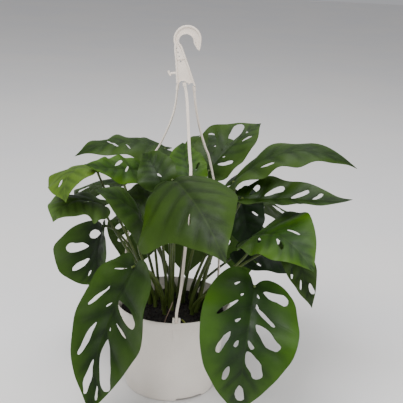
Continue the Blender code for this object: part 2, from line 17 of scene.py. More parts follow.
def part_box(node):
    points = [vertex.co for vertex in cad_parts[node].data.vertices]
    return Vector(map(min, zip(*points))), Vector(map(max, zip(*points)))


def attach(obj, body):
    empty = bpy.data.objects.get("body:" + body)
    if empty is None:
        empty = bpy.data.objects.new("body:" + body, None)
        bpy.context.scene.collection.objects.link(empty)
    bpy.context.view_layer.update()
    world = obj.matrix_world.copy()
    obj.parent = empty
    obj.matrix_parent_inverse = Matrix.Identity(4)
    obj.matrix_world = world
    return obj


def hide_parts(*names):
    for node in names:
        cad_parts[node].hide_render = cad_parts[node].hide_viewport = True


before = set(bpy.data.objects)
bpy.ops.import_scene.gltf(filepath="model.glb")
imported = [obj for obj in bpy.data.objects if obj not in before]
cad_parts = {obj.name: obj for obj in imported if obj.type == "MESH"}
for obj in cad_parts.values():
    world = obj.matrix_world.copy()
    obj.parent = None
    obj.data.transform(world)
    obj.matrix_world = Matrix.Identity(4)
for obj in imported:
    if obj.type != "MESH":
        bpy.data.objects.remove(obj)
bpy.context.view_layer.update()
soil_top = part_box("soil")[1].z
UP = Vector((0, 0, 1))

# %% [markdown]
# Every finish and every node tree needs sums. Written with nodes alone they are hard to read, so a small
# class wraps an output socket and turns Python's own operators into Math nodes. The same class serves
# shader trees and geometry trees, because both know the Math node.


# %% A socket that takes part in sums
class Value:
    """An output socket. Each operator adds the Math node that works it out."""

    def __init__(self, tree, socket):
        self.tree = tree
        self.socket = socket

    def maths(self, operation, *values):
        return self.tree.node("ShaderNodeMath", {"operation": operation}, dict(enumerate(values)))

    def __add__(self, other):
        return self.maths("ADD", self, other)

    def __sub__(self, other):
        return self.maths("SUBTRACT", self, other)

    def __rsub__(self, other):
        return self.maths("SUBTRACT", other, self)

    def __mul__(self, other):
        return self.maths("MULTIPLY", self, other)

    def __truediv__(self, other):
        return self.maths("DIVIDE", self, other)

    def __pow__(self, other):
        return self.maths("POWER", self, other)

    def __abs__(self):
        return self.maths("ABSOLUTE", self)

    __radd__ = __add__
    __rmul__ = __mul__


class Tree:
    """A node tree, with one method that adds any node."""

    def __init__(self, tree):
        self.tree = tree

    def node(self, kind, settings=None, values=None, out=0):
        """Adds a node: first its settings, then the values or links of its sockets."""
        node = self.tree.nodes.new(kind)
        for name, setting in (settings or {}).items():
            setattr(node, name, setting)
        for key, value in (values or {}).items():
            self.feed(node.inputs[key], value)
        return Value(self, node.outputs[out])

    def feed(self, socket, value):
        if isinstance(value, Value):
            self.tree.links.new(value.socket, socket)
        else:
            socket.default_value = value


# %% [markdown]
# A finish is a Principled shader with a few helpers: a soft step makes masks, a blend mixes two colours,
# and grain is noise in the piece's own metres. Constants go straight on the shader's sockets.


# %% A finish
class Finish(Tree):
    """One material, built from the shader outwards."""

    def __init__(self, name, **constants):
        self.material = bpy.data.materials.new(name)
        self.material.use_nodes = True
        super().__init__(self.material.node_tree)
        self.shader = self.tree.nodes["Principled BSDF"]
        for key, value in constants.items():
            self.shader.inputs[key.replace("_", " ")].default_value = value
        self.place = self.node("ShaderNodeTexCoord", out="Object")

    def step(self, value, low, high, start=0.0, end=1.0):
        """A smooth step from start to end as the value goes from low to high."""
        return self.node(
            "ShaderNodeMapRange", {"interpolation_type": "SMOOTHSTEP"},
            {0: value, 1: low, 2: high, 3: start, 4: end},
        )

    def blend(self, mask, first, second):
        """A colour between two others, each a link or an (r, g, b)."""
        sides = [c if isinstance(c, Value) else (*c, 1) for c in (first, second)]
        values = {0: mask, 6: sides[0], 7: sides[1]}
        return self.node("ShaderNodeMix", {"data_type": "RGBA"}, values, out=2)

    def grain(self, scale, detail=3.0, roughness=0.55, at=None):
        """Noise with the given number of lumps to a metre."""
        return self.node(
            "ShaderNodeTexNoise", {"noise_dimensions": "3D"},
            {"Vector": at or self.place, "Scale": scale, "Detail": detail, "Roughness": roughness},
        )

    def paint(self, colour=None, roughness=None, height=None, depth=0.001, strength=1.0):
        """Feeds the shader. The height, from 0 to 1, is worth depth metres."""
        if colour is not None:
            self.feed(self.shader.inputs["Base Color"], colour)
        if roughness is not None:
            self.feed(self.shader.inputs["Roughness"], roughness)
        if height is not None:
            bump = {"Height": height, "Distance": depth, "Strength": strength}
            self.feed(self.shader.inputs["Normal"], self.node("ShaderNodeBump", {}, bump))
        return self.material


# %% [markdown]
# ## Handing pieces over
#
# Each finished mesh rides on the one body of this object, takes its materials, and hides the CAD nodes
# that it stands for.


# %% Hand a piece over
made = []


def hand_over(name, mesh, stands_for, materials=()):
    """Puts a finished mesh in the scene as a piece at the origin."""
    for material in materials:
        mesh.materials.append(material)
    piece = bpy.data.objects.new(name, mesh)
    bpy.context.scene.collection.objects.link(piece)
    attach(piece, "root")
    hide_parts(*stands_for)
    mesh.calc_loop_triangles()
    made.append((name, len(mesh.loop_triangles)))
    return piece


def mesh_from(bm, name, smooth_below=35):
    """A plain mesh from a bmesh, smooth except at edges sharper than the angle in degrees."""
    mesh = bpy.data.meshes.new(name)
    bm.to_mesh(mesh)
    bm.free()
    mesh.shade_smooth()
    mesh.set_sharp_from_angle(angle=math.radians(smooth_below))
    return mesh


# %% [markdown]
# ## The pot
#
# The real pot is injection moulded: a slightly flared wall, a rim band with a small step under it, and a
# foot with drain notches. It could be turned with Boolean cuts for the notches, but those leave slivers.
# A lathe whose profile changes with the angle needs no cuts: the underside rises where a notch is.

# %% The pot's profile
POT_HEIGHT = 0.133
RIM_RADIUS = 0.085
BASE_RADIUS = 0.0663
RIM_BAND = 0.010
WALL = 0.0022
FLOOR = 0.005
SOIL_TOP = soil_top
NOTCH_AZIMUTHS = (-59, 61, 181)
NOTCH_ANGLE = 38
NOTCH_HEIGHT = 0.003
NOTCH_START = 0.046


def polar(radius, azimuth, z=0.0):
    angle = math.radians(azimuth)
    return Vector((radius * math.cos(angle), radius * math.sin(angle), z))


def notch_lift(azimuth):
    """How far the foot's edge is raised at an azimuth, with a short ramp at each end of a notch."""
    lift = 0.0
    for centre in NOTCH_AZIMUTHS:
        off = abs((azimuth - centre + 180) % 360 - 180)
        lift = max(lift, min(1.0, max(0.0, (NOTCH_ANGLE / 2 - off) / 1.2)))
    return lift * NOTCH_HEIGHT


def wall_radius(z):
    """Outer radius of the plain wall at a height, with a barely swollen belly."""
    part = z / POT_HEIGHT
    swell = 0.0004 * math.sin(math.pi * part)
    return BASE_RADIUS + (RIM_RADIUS - 0.0008 - BASE_RADIUS) * part + swell


def pot_profile(azimuth):
    """(radius, height) from the axis below, out, up the wall, over the lip and down to the floor."""
    lift = notch_lift(azimuth)
    band = POT_HEIGHT - RIM_BAND
    inner_top = RIM_RADIUS - WALL
    points = [(0.0, 0.0), (0.030, 0.0), (NOTCH_START, 0.0), (NOTCH_START + 0.0012, lift)]
    points += [(BASE_RADIUS - 0.0030, lift), (BASE_RADIUS - 0.0010, lift + 0.0001)]
    points += [(BASE_RADIUS - 0.0002, lift + 0.0006), (BASE_RADIUS + 0.0003, lift + 0.0016)]
    points += [(wall_radius(z), z) for z in np.linspace(0.0062, band - 0.0016, 16)]
    points += [(wall_radius(band) - 0.0001, band - 0.0006), (wall_radius(band) + 0.0003, band - 0.0001)]
    points += [(RIM_RADIUS - 0.0001, band + 0.0004), (RIM_RADIUS, band + 0.0010)]
    points += [(RIM_RADIUS, band + 0.0045), (RIM_RADIUS, POT_HEIGHT - 0.0011)]
    points += [(RIM_RADIUS - 0.0004, POT_HEIGHT - 0.0003), (RIM_RADIUS - 0.0010, POT_HEIGHT)]
    points += [(inner_top + 0.0007, POT_HEIGHT), (inner_top + 0.0002, POT_HEIGHT - 0.0003)]
    points += [(inner_top, POT_HEIGHT - 0.0010), (inner_top - 0.0004, POT_HEIGHT - 0.0060)]
    points += [(wall_radius(z) - WALL, z) for z in np.linspace(0.118, FLOOR + 0.002, 6)]
    points += [(wall_radius(FLOOR) - WALL - 0.002, FLOOR), (0.0, FLOOR)]
    return points


# %% Turn the pot
POT_SIDES = 240


def turn(profile_at, sides):
    """A lathe whose profile may change with the azimuth. The profile starts and ends on the axis."""
    bm = bmesh.new()
    columns = []
    for i in range(sides):
        azimuth = 360 * i / sides
        columns.append([bm.verts.new(polar(r, azimuth, z)) for r, z in profile_at(azimuth)])
    for here, there in zip(columns, columns[1:] + columns[:1]):
        for low in range(len(here) - 1):
            corners = [here[low], there[low], there[low + 1], here[low + 1]]
            bm.faces.new(corners)
    bmesh.ops.remove_doubles(bm, verts=bm.verts, dist=1e-6)
    bmesh.ops.recalc_face_normals(bm, faces=bm.faces)
    return bm


# %% [markdown]
# The strands end in lugs behind the rim: two ears that rise above it, a back plate between them, and a
# shallow raised panel outside that hides the catch. Small boxes with bevelled edges are right for
# moulded lugs like these, turned to each azimuth.

# %% The lugs
LUG_AZIMUTHS = {"front": -82, "back_right": 38, "back_left": 158}
LUG_WIDTH = 0.011
LUG_DEPTH = 0.0052
EAR_HEIGHT = 0.007
EAR_WIDTH = 0.0030


def soft_box(bm, low, high, edge, turn_by=0.0):
    """Adds a box with rounded edges, turned about the Z axis."""
    made_box = bmesh.ops.create_cube(bm, size=1)["verts"]
    low, high = Vector(low), Vector(high)
    for vert in made_box:
        vert.co = Vector([(a + b) / 2 + c * (b - a) for a, b, c in zip(low, high, vert.co)])
    edges = list({e for v in made_box for e in v.link_edges})
    rounded = bmesh.ops.bevel(bm, geom=edges, offset=edge, segments=2, profile=0.5, affect="EDGES")
    corners = {v for face in rounded["faces"] for v in face.verts}
    spin = Matrix.Rotation(math.radians(turn_by), 4, "Z")
    bmesh.ops.transform(bm, matrix=spin, verts=list(corners))


def add_lug(bm, azimuth):
    """Two ears, the plates behind and before the socket, and the panel outside."""
    outer, half = RIM_RADIUS - 0.0003, LUG_WIDTH / 2
    inner = outer - LUG_DEPTH
    foot, top = POT_HEIGHT - 0.0175, POT_HEIGHT + EAR_HEIGHT
    turn_by = azimuth - 90
    for side in (-1, 1):
        near, far = sorted((side * half, side * (half - EAR_WIDTH)))
        soft_box(bm, (near, inner, foot), (far, outer, top), 0.0006, turn_by)
    soft_box(bm, (-half + 0.0008, inner, foot), (half - 0.0008, inner + 0.0012, POT_HEIGHT + 0.001),
             0.0004, turn_by)
    panel_top = POT_HEIGHT - RIM_BAND + 0.002
    for step_out, drop in ((0.0, 0.020), (0.0003, 0.014)):
        face = wall_radius(panel_top) + 0.0002 + step_out
        soft_box(bm, (-half + 0.001, face - 0.0022, POT_HEIGHT - RIM_BAND - drop),
                 (half - 0.001, face, panel_top), 0.0003, turn_by)


pot_bm = turn(pot_profile, POT_SIDES)
for lug_azimuth in LUG_AZIMUTHS.values():
    add_lug(pot_bm, lug_azimuth)
print("pot faces", len(pot_bm.faces))

# %% [markdown]
# The plastic is warm and matte, with the faint darker speckle that recycled or mineral-filled
# plastic shows, and a very fine moulded texture. The speckle is thresholded noise at two sizes.


# %% Pot plastic
def moulded_plastic(name, base, shade, speckle, roughness):
    """Warm matte plastic: slow colour drift, dark and light specks, fine texture."""
    finish = Finish(name, Roughness=roughness, Specular_IOR_Level=0.45)
    drift = finish.step(finish.grain(14, 2.0), 0.30, 0.70)
    colour = finish.blend(drift, shade, base)
    specks = finish.step(finish.grain(1500, 1.0), 0.655, 0.71)
    colour = finish.blend(specks * 0.55, colour, speckle)
    pale = finish.step(finish.grain(900, 1.0), 0.68, 0.74)
    colour = finish.blend(pale * 0.35, colour, tuple(min(1.0, c * 1.12) for c in base))
    texture = finish.grain(2600, 2.0) * 0.6 + finish.grain(420, 2.0) * 0.4
    rough = finish.step(finish.grain(60, 3.0), 0.3, 0.7, roughness - 0.06, roughness + 0.08)
    return finish.paint(colour, rough, texture, depth=0.00012, strength=0.5)


pot_plastic = moulded_plastic("pot_plastic", (0.86, 0.80, 0.725), (0.80, 0.74, 0.665),
                              (0.50, 0.43, 0.35), 0.52)
hand_over("pot_shell", mesh_from(pot_bm, "pot_shell", 28), ["pot"], [pot_plastic])

# %% [markdown]
# ## Flat mouldings and leaf blades
#
# The hook's web and the leaf blades are both thin sheets with holes in them. One helper serves both: it
# takes closed rings in a plane, fills between them with a constrained triangulation, and raises the
# result to two faces with an edge all round. A Boolean for each hole would be slower and less clean.


# %% A sheet from rings
def within(points, ring):
    """True for each point inside the ring."""
    x, y = points[:, 0], points[:, 1]
    hit = np.zeros(len(points), bool)
    for (ax, ay), (bx, by) in zip(ring, np.roll(ring, -1, axis=0)):
        if ay != by:
            hit ^= ((ay > y) != (by > y)) & (x < ax + (bx - ax) * (y - ay) / (by - ay))
    return hit


def sheet_faces(rings, fill):
    """Points and triangles of the area inside the first ring and outside the others."""
    flat, edges = [], []
    for ring in rings:
        first = len(flat)
        flat += [tuple(p) for p in ring]
        edges += [(first + i, first + (i + 1) % len(ring)) for i in range(len(ring))]
    flat += [tuple(p) for p in fill]
    vectors = [Vector(p) for p in flat]
    spots, _, faces, _, _, _ = geometry.delaunay_2d_cdt(vectors, edges, [], 0, 1e-8)
    spots = np.array([tuple(p) for p in spots])
    middles = np.array([spots[list(face)].mean(axis=0) for face in faces])
    kept = within(middles, np.array(rings[0]))
    for ring in rings[1:]:
        kept &= ~within(middles, np.array(ring))
    return spots, [face for face, keep in zip(faces, kept) if keep]


def raise_sheet(spots, faces, place):
    """A closed bmesh. place(index, side) gives a vertex of the upper (1) or lower (-1) face."""
    bm = bmesh.new()
    layers = {side: {} for side in (1, -1)}
    for i in sorted({i for face in faces for i in face}):
        for side in layers:
            layers[side][i] = bm.verts.new(place(i, side))
    counts = set()
    for face in faces:
        bm.faces.new([layers[1][i] for i in face]).material_index = 0
        bm.faces.new([layers[-1][i] for i in reversed(face)]).material_index = 1
        counts |= set(zip(face, list(face[1:]) + [face[0]]))
    for i, j in counts:
        if (j, i) not in counts:
            rim = bm.faces.new((layers[1][j], layers[1][i], layers[-1][i], layers[-1][j]))
            rim.material_index = 1
    bm.verts.index_update()
    source = {vert.index: i for layer in layers.values() for i, vert in layer.items()}
    return bm, source


# %% [markdown]
# ## Leaves
#
# Each blade is a pointed heart with a row of holes on both sides of the midrib. The plant is drawn from
# a table: where the blade starts and ends, which way its upper face looks, and how it bows, droops and
# twists. These are the CAD model's own design values, so each fine blade follows its CAD solid. Only its
# ripples and its uneven margin leave it, and the drawn-out corner of the front shield leaf.

# %% The table of leaves
Leaf = namedtuple(
    "Leaf", "base tip face width skew arch sway cup twist root rise tone ruffle shoulder",
    defaults=(1.0, 0.0),
)

LEAVES = {
    "shield_front": Leaf(
        (-0.004, -0.064, 0.336), (0.076, -0.214, 0.279), (-0.08, -0.51, 0.86), 0.131, 0.08,
        0.16, 0.00, 0.50, 11, (-0.001, -0.001), 0.4, "sage", 0.9, 0.42,
    ),
    "low_right": Leaf(
        (0.115, -0.130, 0.219), (0.101, -0.181, 0.056), (0.20, -0.88, 0.43), 0.128, 0.0,
        0.26, 0.06, -0.12, 8, (0.030, -0.012), 0.4, "deep",
    ),
    "low_left": Leaf(
        (-0.047, -0.126, 0.233), (-0.090, -0.202, 0.053), (-0.74, -0.47, 0.49), 0.136, -0.17,
        0.05, 0.03, -0.15, -33, (-0.010, -0.018), 0.4, "moss",
    ),
    "round_left": Leaf(
        (-0.107, 0.004, 0.240), (-0.103, -0.063, 0.174), (-0.79, 0.09, 0.60), 0.128, 0.20,
        0.0, 0.09, -0.40, -20, (-0.032, 0.022), 0.4, "moss",
    ),
    "top_left": Leaf(
        (-0.023, 0.067, 0.343), (-0.153, 0.032, 0.334), (-0.07, -0.06, 1.00), 0.075, 0.0,
        0.12, 0.03, 0.30, -15, (-0.007, 0.033), 0.4, "olive", 2.4,
    ),
    "pale_left": Leaf(
        (-0.116, -0.001, 0.332), (-0.134, -0.130, 0.316), (-0.36, -0.46, 0.81), 0.081, 0.0,
        0.13, 0.09, 0.17, 4, (-0.035, 0.016), 0.4, "pale", 2.6,
    ),
    "gold_left": Leaf(
        (-0.052, -0.008, 0.331), (-0.119, -0.083, 0.355), (0.05, -0.70, 0.71), 0.051, 0.0,
        0.0, -0.03, 0.09, 13, (-0.010, 0.027), 0.7, "lime", 2.0,
    ),
    "curled_left": Leaf(
        (-0.099, -0.024, 0.281), (-0.158, -0.097, 0.276), (-0.09, -0.42, 0.91), 0.082, 0.0,
        0.12, 0.17, 0.31, 6, (-0.026, 0.010), 0.4, "silver", 2.6,
    ),
    "slanting_left": Leaf(
        (-0.040, -0.059, 0.254), (-0.101, -0.116, 0.332), (0.56, -0.24, 0.80), 0.076, 0.09,
        0.19, -0.08, 0.33, -23, (-0.013, -0.001), 0.4, "blue",
    ),
    "centre_upright": Leaf(
        (0.020, -0.011, 0.317), (0.001, 0.065, 0.354), (-0.01, -0.80, 0.60), 0.058, 0.0,
        0.09, -0.03, 0.12, 0, (0.008, 0.016), 0.4, "lime", 1.8,
    ),
    "inner_left_upper": Leaf(
        (-0.019, -0.046, 0.319), (-0.050, -0.005, 0.353), (-0.16, -0.85, 0.51), 0.056, 0.0,
        0.15, 0.07, 0.0, -6, (-0.004, 0.005), 0.4, "blue", 1.6,
    ),
    "inner_left_dark": Leaf(
        (-0.039, -0.005, 0.302), (-0.067, -0.036, 0.253), (-0.14, -0.78, 0.61), 0.050, 0.0,
        0.07, 0.0, 0.0, 0, (-0.010, 0.016), 0.4, "olive",
    ),
    "top_right": Leaf(
        (0.041, 0.046, 0.318), (0.115, 0.102, 0.381), (-0.22, -0.58, 0.78), 0.086, 0.0,
        0.09, 0.0, -0.30, 0, (0.014, 0.027), 0.4, "olive", 1.5,
    ),
    "long_right": Leaf(
        (0.077, 0.008, 0.315), (0.250, 0.004, 0.347), (0.00, -0.13, 0.99), 0.078, 0.0,
        0.22, 0.0, 0.18, 10, (0.027, 0.016), 0.4, "olive", 1.8,
    ),
    "pierced_right": Leaf(
        (0.091, -0.023, 0.303), (0.239, -0.065, 0.323), (0.07, -0.33, 0.94), 0.062, 0.0,
        0.01, 0.02, -0.43, 2, (0.027, 0.005), 0.4, "blue",
    ),
    "folded_right": Leaf(
        (0.109, -0.056, 0.258), (0.190, -0.140, 0.245), (0.19, -0.53, 0.83), 0.100, -0.09,
        0.22, -0.02, 0.0, 28, (0.036, -0.001), 0.4, "lime", 2.0,
    ),
    "hanging_right": Leaf(
        (0.163, -0.033, 0.247), (0.197, -0.082, 0.169), (0.29, -0.79, 0.53), 0.048, 0.0,
        0.06, 0.0, 0.07, 4, (0.045, 0.016), 0.4, "olive",
    ),
    "shaded_right": Leaf(
        (0.092, 0.059, 0.194), (0.186, 0.024, 0.172), (0.14, -0.43, 0.89), 0.065, 0.0,
        0.11, 0.0, 0.09, 0, (0.027, 0.038), 0.55, "shade",
    ),
    "inner_right_dark": Leaf(
        (0.089, 0.068, 0.283), (0.110, -0.023, 0.223), (-0.14, -0.81, 0.57), 0.061, 0.0,
        -0.04, 0.0, 0.14, 5, (0.030, 0.033), 0.4, "shade",
    ),
    "back_left": Leaf(
        (-0.085, 0.065, 0.290), (-0.165, 0.145, 0.215), (-0.40, 0.50, 0.77), 0.095, 0.0,
        0.12, 0.0, 0.12, 0, (-0.026, 0.033), 0.4, "blue",
    ),
    "back_right": Leaf(
        (0.088, 0.108, 0.265), (0.172, 0.178, 0.185), (0.40, 0.50, 0.77), 0.100, 0.0,
        0.12, 0.0, 0.12, 0, (0.024, 0.044), 0.4, "olive",
    ),
    "back_low_left": Leaf(
        (-0.052, 0.112, 0.235), (-0.086, 0.178, 0.095), (-0.25, 0.82, 0.50), 0.118, 0.0,
        0.12, 0.04, 0.10, 0, (-0.025, 0.046), 0.4, "moss",
    ),
    "back_low_right": Leaf(
        (0.082, 0.118, 0.225), (0.108, 0.184, 0.090), (0.20, 0.84, 0.50), 0.116, 0.0,
        0.12, -0.04, 0.10, 0, (0.030, 0.044), 0.4, "deep",
    ),
    "back_centre": Leaf(
        (0.016, 0.094, 0.245), (0.010, 0.146, 0.108), (0.00, 0.78, 0.62), 0.118, 0.0,
        0.12, 0.0, 0.12, 0, (0.005, 0.044), 0.4, "blue",
    ),
    "back_top": Leaf(
        (0.030, 0.085, 0.335), (0.060, 0.190, 0.330), (0.10, 0.10, 1.00), 0.075, 0.0,
        0.12, 0.0, 0.15, 0, (0.008, 0.038), 0.4, "olive",
    ),
}

# %% [markdown]
# The holes lie between the side veins. Each has an inner end and an outer end, as places along the
# midrib and across the half blade (right half positive), and a width as a share of the leaf's length.

# %% The table of holes
BOTH_SIDES = [
    (along, side * 0.24, along + 0.15, side * 0.76, 0.075)
    for along in (0.06, 0.27, 0.48) for side in (1, -1)
]
FEW_HOLES = [(0.18, 0.26, 0.30, 0.68, 0.05), (0.36, -0.28, 0.50, -0.72, 0.05)]
HOLES = {
    "shield_front": [(0.57, 0.22, 0.66, 0.42, 0.020)],
    "low_right": [
        (0.25, 0.19, 0.28, 0.30, 0.018), (0.02, 0.38, 0.05, 0.52, 0.014),
        (0.09, 0.24, 0.11, 0.30, 0.014), (0.06, -0.09, 0.09, -0.14, 0.016),
        (0.13, -0.09, 0.16, -0.14, 0.018),
        (0.03, -0.24, 0.07, -0.84, 0.085), (0.15, -0.08, 0.26, -0.52, 0.032),
        (0.27, -0.13, 0.43, -0.68, 0.085), (0.39, -0.03, 0.45, -0.15, 0.034),
        (0.47, -0.04, 0.67, -0.52, 0.100), (0.74, 0.05, 0.87, -0.18, 0.075),
        (0.35, 0.36, 0.50, 0.64, 0.052), (0.40, 0.18, 0.45, 0.25, 0.030),
        (0.59, 0.36, 0.70, 0.58, 0.048), (0.14, 0.32, 0.26, 0.70, 0.030),
    ],
    "low_left": [
        (0.27, 0.09, 0.31, 0.23, 0.014), (0.42, -0.10, 0.445, -0.14, 0.014),
        (0.03, 0.20, 0.07, 0.62, 0.010),
        (0.18, 0.42, 0.34, 0.73, 0.030), (0.24, -0.08, 0.36, -0.72, 0.080),
        (0.38, -0.20, 0.45, -0.56, 0.018), (0.42, 0.30, 0.65, 0.70, 0.045),
        (0.50, -0.14, 0.84, -0.80, 0.100), (0.65, 0.10, 0.88, 0.76, 0.050),
        (0.81, -0.20, 0.91, -0.50, 0.020),
    ],
    "round_left": [
        (0.12, 0.03, 0.11, 0.44, 0.110), (0.28, 0.34, 0.27, 0.82, 0.110),
        (0.47, 0.28, 0.57, 0.74, 0.110), (0.66, 0.24, 0.74, 0.44, 0.050),
    ],
    "top_left": [(0.64, 0.24, 0.53, -0.50, 0.028), (0.45, -0.34, 0.40, -0.62, 0.024)],
    "pale_left": [(0.62, 0.22, 0.75, 0.40, 0.030)],
    "gold_left": [(0.46, 0.22, 0.27, 0.60, 0.045), (0.32, -0.18, 0.21, 0.22, 0.030)],
    "curled_left": [(0.14, -0.04, 0.37, -0.20, 0.030)],
    "centre_upright": [(0.20, 0.42, 0.36, 0.68, 0.040)],
    "inner_left_upper": [(0.18, 0.18, 0.28, 0.02, 0.040)],
    "inner_left_dark": [(0.50, 0.50, 0.65, 0.72, 0.040)],
    "top_right": [
        (0.72, 0.04, 0.76, 0.01, 0.030), (0.41, -0.11, 0.45, -0.16, 0.030),
        (0.30, -0.08, 0.34, -0.14, 0.030), (0.25, 0.10, 0.28, 0.16, 0.020),
        (0.46, -0.14, 0.80, -0.82, 0.130), (0.18, -0.30, 0.41, -0.80, 0.120),
        (0.14, 0.14, 0.27, 0.64, 0.065), (0.58, 0.24, 0.73, 0.50, 0.035),
    ],
    "long_right": [(0.24, 0.48, 0.36, 0.62, 0.032)],
    "pierced_right": [
        (0.07, -0.20, 0.14, -0.72, 0.060), (0.21, -0.16, 0.38, -0.66, 0.060),
        (0.46, -0.04, 0.61, -0.62, 0.060), (0.65, -0.06, 0.74, -0.66, 0.045),
        (0.22, 0.36, 0.32, 0.80, 0.055),
    ],
    "folded_right": [
        (0.43, -0.26, 0.62, -0.42, 0.026), (0.20, 0.26, 0.31, 0.52, 0.040),
        (0.45, 0.14, 0.62, 0.42, 0.050),
    ],
    "hanging_right": [
        (0.66, -0.36, 0.82, -0.76, 0.080), (0.58, 0.26, 0.72, 0.66, 0.030),
        (0.38, 0.50, 0.54, 0.84, 0.030),
    ],
    "shaded_right": [(0.28, 0.50, 0.46, 0.72, 0.030)],
    "inner_right_dark": [(0.34, -0.40, 0.42, -0.66, 0.030)],
    "back_left": BOTH_SIDES,
    "back_right": BOTH_SIDES,
    "back_low_left": BOTH_SIDES,
    "back_low_right": BOTH_SIDES,
    "back_centre": BOTH_SIDES,
    "back_top": FEW_HOLES,
}

# %% The blade's outline
HALF_OUTLINE = [
    (0.00, 0.00), (-0.045, 0.14), (-0.065, 0.34), (-0.035, 0.60), (0.06, 0.85), (0.18, 0.97),
    (0.32, 1.00), (0.48, 0.92), (0.63, 0.74), (0.77, 0.50), (0.88, 0.25), (0.95, 0.09), (1.00, 0.0),
]


def smooth_curve(points, steps):
    """Points along a Catmull-Rom curve through the given ones, steps to a span."""
    pts = [Vector(p) for p in points]
    pts = [2 * pts[0] - pts[1]] + pts + [2 * pts[-1] - pts[-2]]
    path = []
    for a, b, c, d in zip(pts, pts[1:], pts[2:], pts[3:]):
        for i in range(steps):
            t = i / steps
            bend = (2 * a - 5 * b + 4 * c - d) * t**2 + (3 * b - a - 3 * c + d) * t**3
            path.append(0.5 * (2 * b + (c - a) * t + bend))
    return path + [pts[-2]]


SMOOTH_HALF = [tuple(p) for p in smooth_curve(HALF_OUTLINE, 5)]
REACH_ALONG = [p[0] for p in SMOOTH_HALF[20:]]
REACH_SHARE = [p[1] for p in SMOOTH_HALF[20:]]


def half_width(leaf, side):
    return 0.5 * leaf.width * (1 + side * leaf.skew)


def reach(along):
    """Share of the half width that the blade has at a place along the midrib."""
    return float(np.interp(along, REACH_ALONG, REACH_SHARE))


def leaf_length(leaf):
    return (Vector(leaf.tip) - Vector(leaf.base)).length


UNEVEN = 0.045
SHOULDER_END = 0.34
CORNER = 0.44
CORNER_SPREAD = 0.17
CORNER_SHARE = 0.6


def margin_point(leaf, along, share, side):
    """A point of the outline, a little uneven. A leaf's shoulder value narrows the right half near the
    base and draws it out to a corner beyond."""
    length = leaf_length(leaf)
    uneven = 1 + UNEVEN * noise.noise(Vector((along * 7, side * 3.3, leaf.width * 90)))
    if side > 0:
        uneven *= 1 - leaf.shoulder * max(0.0, 1 - max(0.0, along) / SHOULDER_END) ** 1.2
        uneven *= 1 + CORNER_SHARE * leaf.shoulder * math.exp(-(((along - CORNER) / CORNER_SPREAD) ** 2))
    return along * length, side * share * uneven * half_width(leaf, side)


def leaf_rings(leaf, holes):
    """The outline and the holes, as rings of (metres along, metres across)."""
    right = [margin_point(leaf, u, v, 1) for u, v in SMOOTH_HALF]
    left = [margin_point(leaf, u, v, -1) for u, v in SMOOTH_HALF[-2:0:-1]]
    return [right + left] + [hole_ring(leaf, hole) for hole in holes]


def hole_ring(leaf, hole):
    """A drop-shaped hole with its narrow end towards the midrib."""
    length = leaf_length(leaf)
    ends = []
    for along, share in (hole[0:2], hole[2:4]):
        half = half_width(leaf, 1 if share > 0 else -1)
        ends.append(Vector((along * length, share * reach(along) * half)))
    axis = ends[1] - ends[0]
    normal = axis.orthogonal().normalized() * hole[4] * length / 2
    ring = []
    count = max(12, int(axis.length / 0.0018))
    for i in range(count):
        angle = 2 * math.pi * i / count
        part = (1 - math.cos(angle)) / 2
        bulge = math.copysign(abs(math.sin(angle)) ** (1.15 - 0.4 * part), math.sin(angle))
        wobble = 1 + 0.45 * noise.noise(Vector((hole[0] * 40, hole[3] * 40, angle * 1.3)))
        spot = ends[0] + axis * part + normal * bulge * (0.72 + 0.5 * part) * wobble
        ring.append((spot.x, spot.y))
    return ring


# %% [markdown]
# Real blades are not smooth sheets. Between the side veins the surface swells like quilting, the midrib
# lies in a groove above and stands out as a rib below, and the margin waves. The side veins leave the
# midrib nearly square near the base and lean more and more towards the tip.

# %% The blade's surface
BLADE_THICK = 0.0007
VEINS = 6.5
VEIN_LEAN = 1.9
QUILT = 0.026
GROOVE = -0.016
GROOVE_WIDTH = 0.030
WAVE = 0.017
WAVES = 3.2
LUMP = 0.018
RIB = 0.0011
RIB_WIDTH = 0.0013


def blade_frame(leaf, along, across):
    """A point of the blade's smooth middle surface, and the way its upper face looks there."""
    base, tip = Vector(leaf.base), Vector(leaf.tip)
    length = (tip - base).length
    chord = (tip - base) / length
    face = Vector(leaf.face)
    face = (face - face.dot(chord) * chord).normalized()
    side = chord.cross(face)
    bend = face * leaf.arch + side * leaf.sway
    spine = base + chord * length * along + bend * length * 4 * along * (1 - along)
    ahead = (chord + bend * 4 * (1 - 2 * along)).normalized()
    face = (face - face.dot(ahead) * ahead).normalized()
    face = Matrix.Rotation(math.radians(leaf.twist * along), 3, ahead) @ face
    side = ahead.cross(face)
    share = across / (0.5 * leaf.width)
    drop = leaf.cup * 0.5 * leaf.width * share * share
    return spine + side * across - face * drop, face


def vein_phase(along, across_length):
    """Where the side vein through this spot leaves the midrib."""
    out = abs(across_length)
    return (along - 0.1 * out) / (1 + VEIN_LEAN * out)


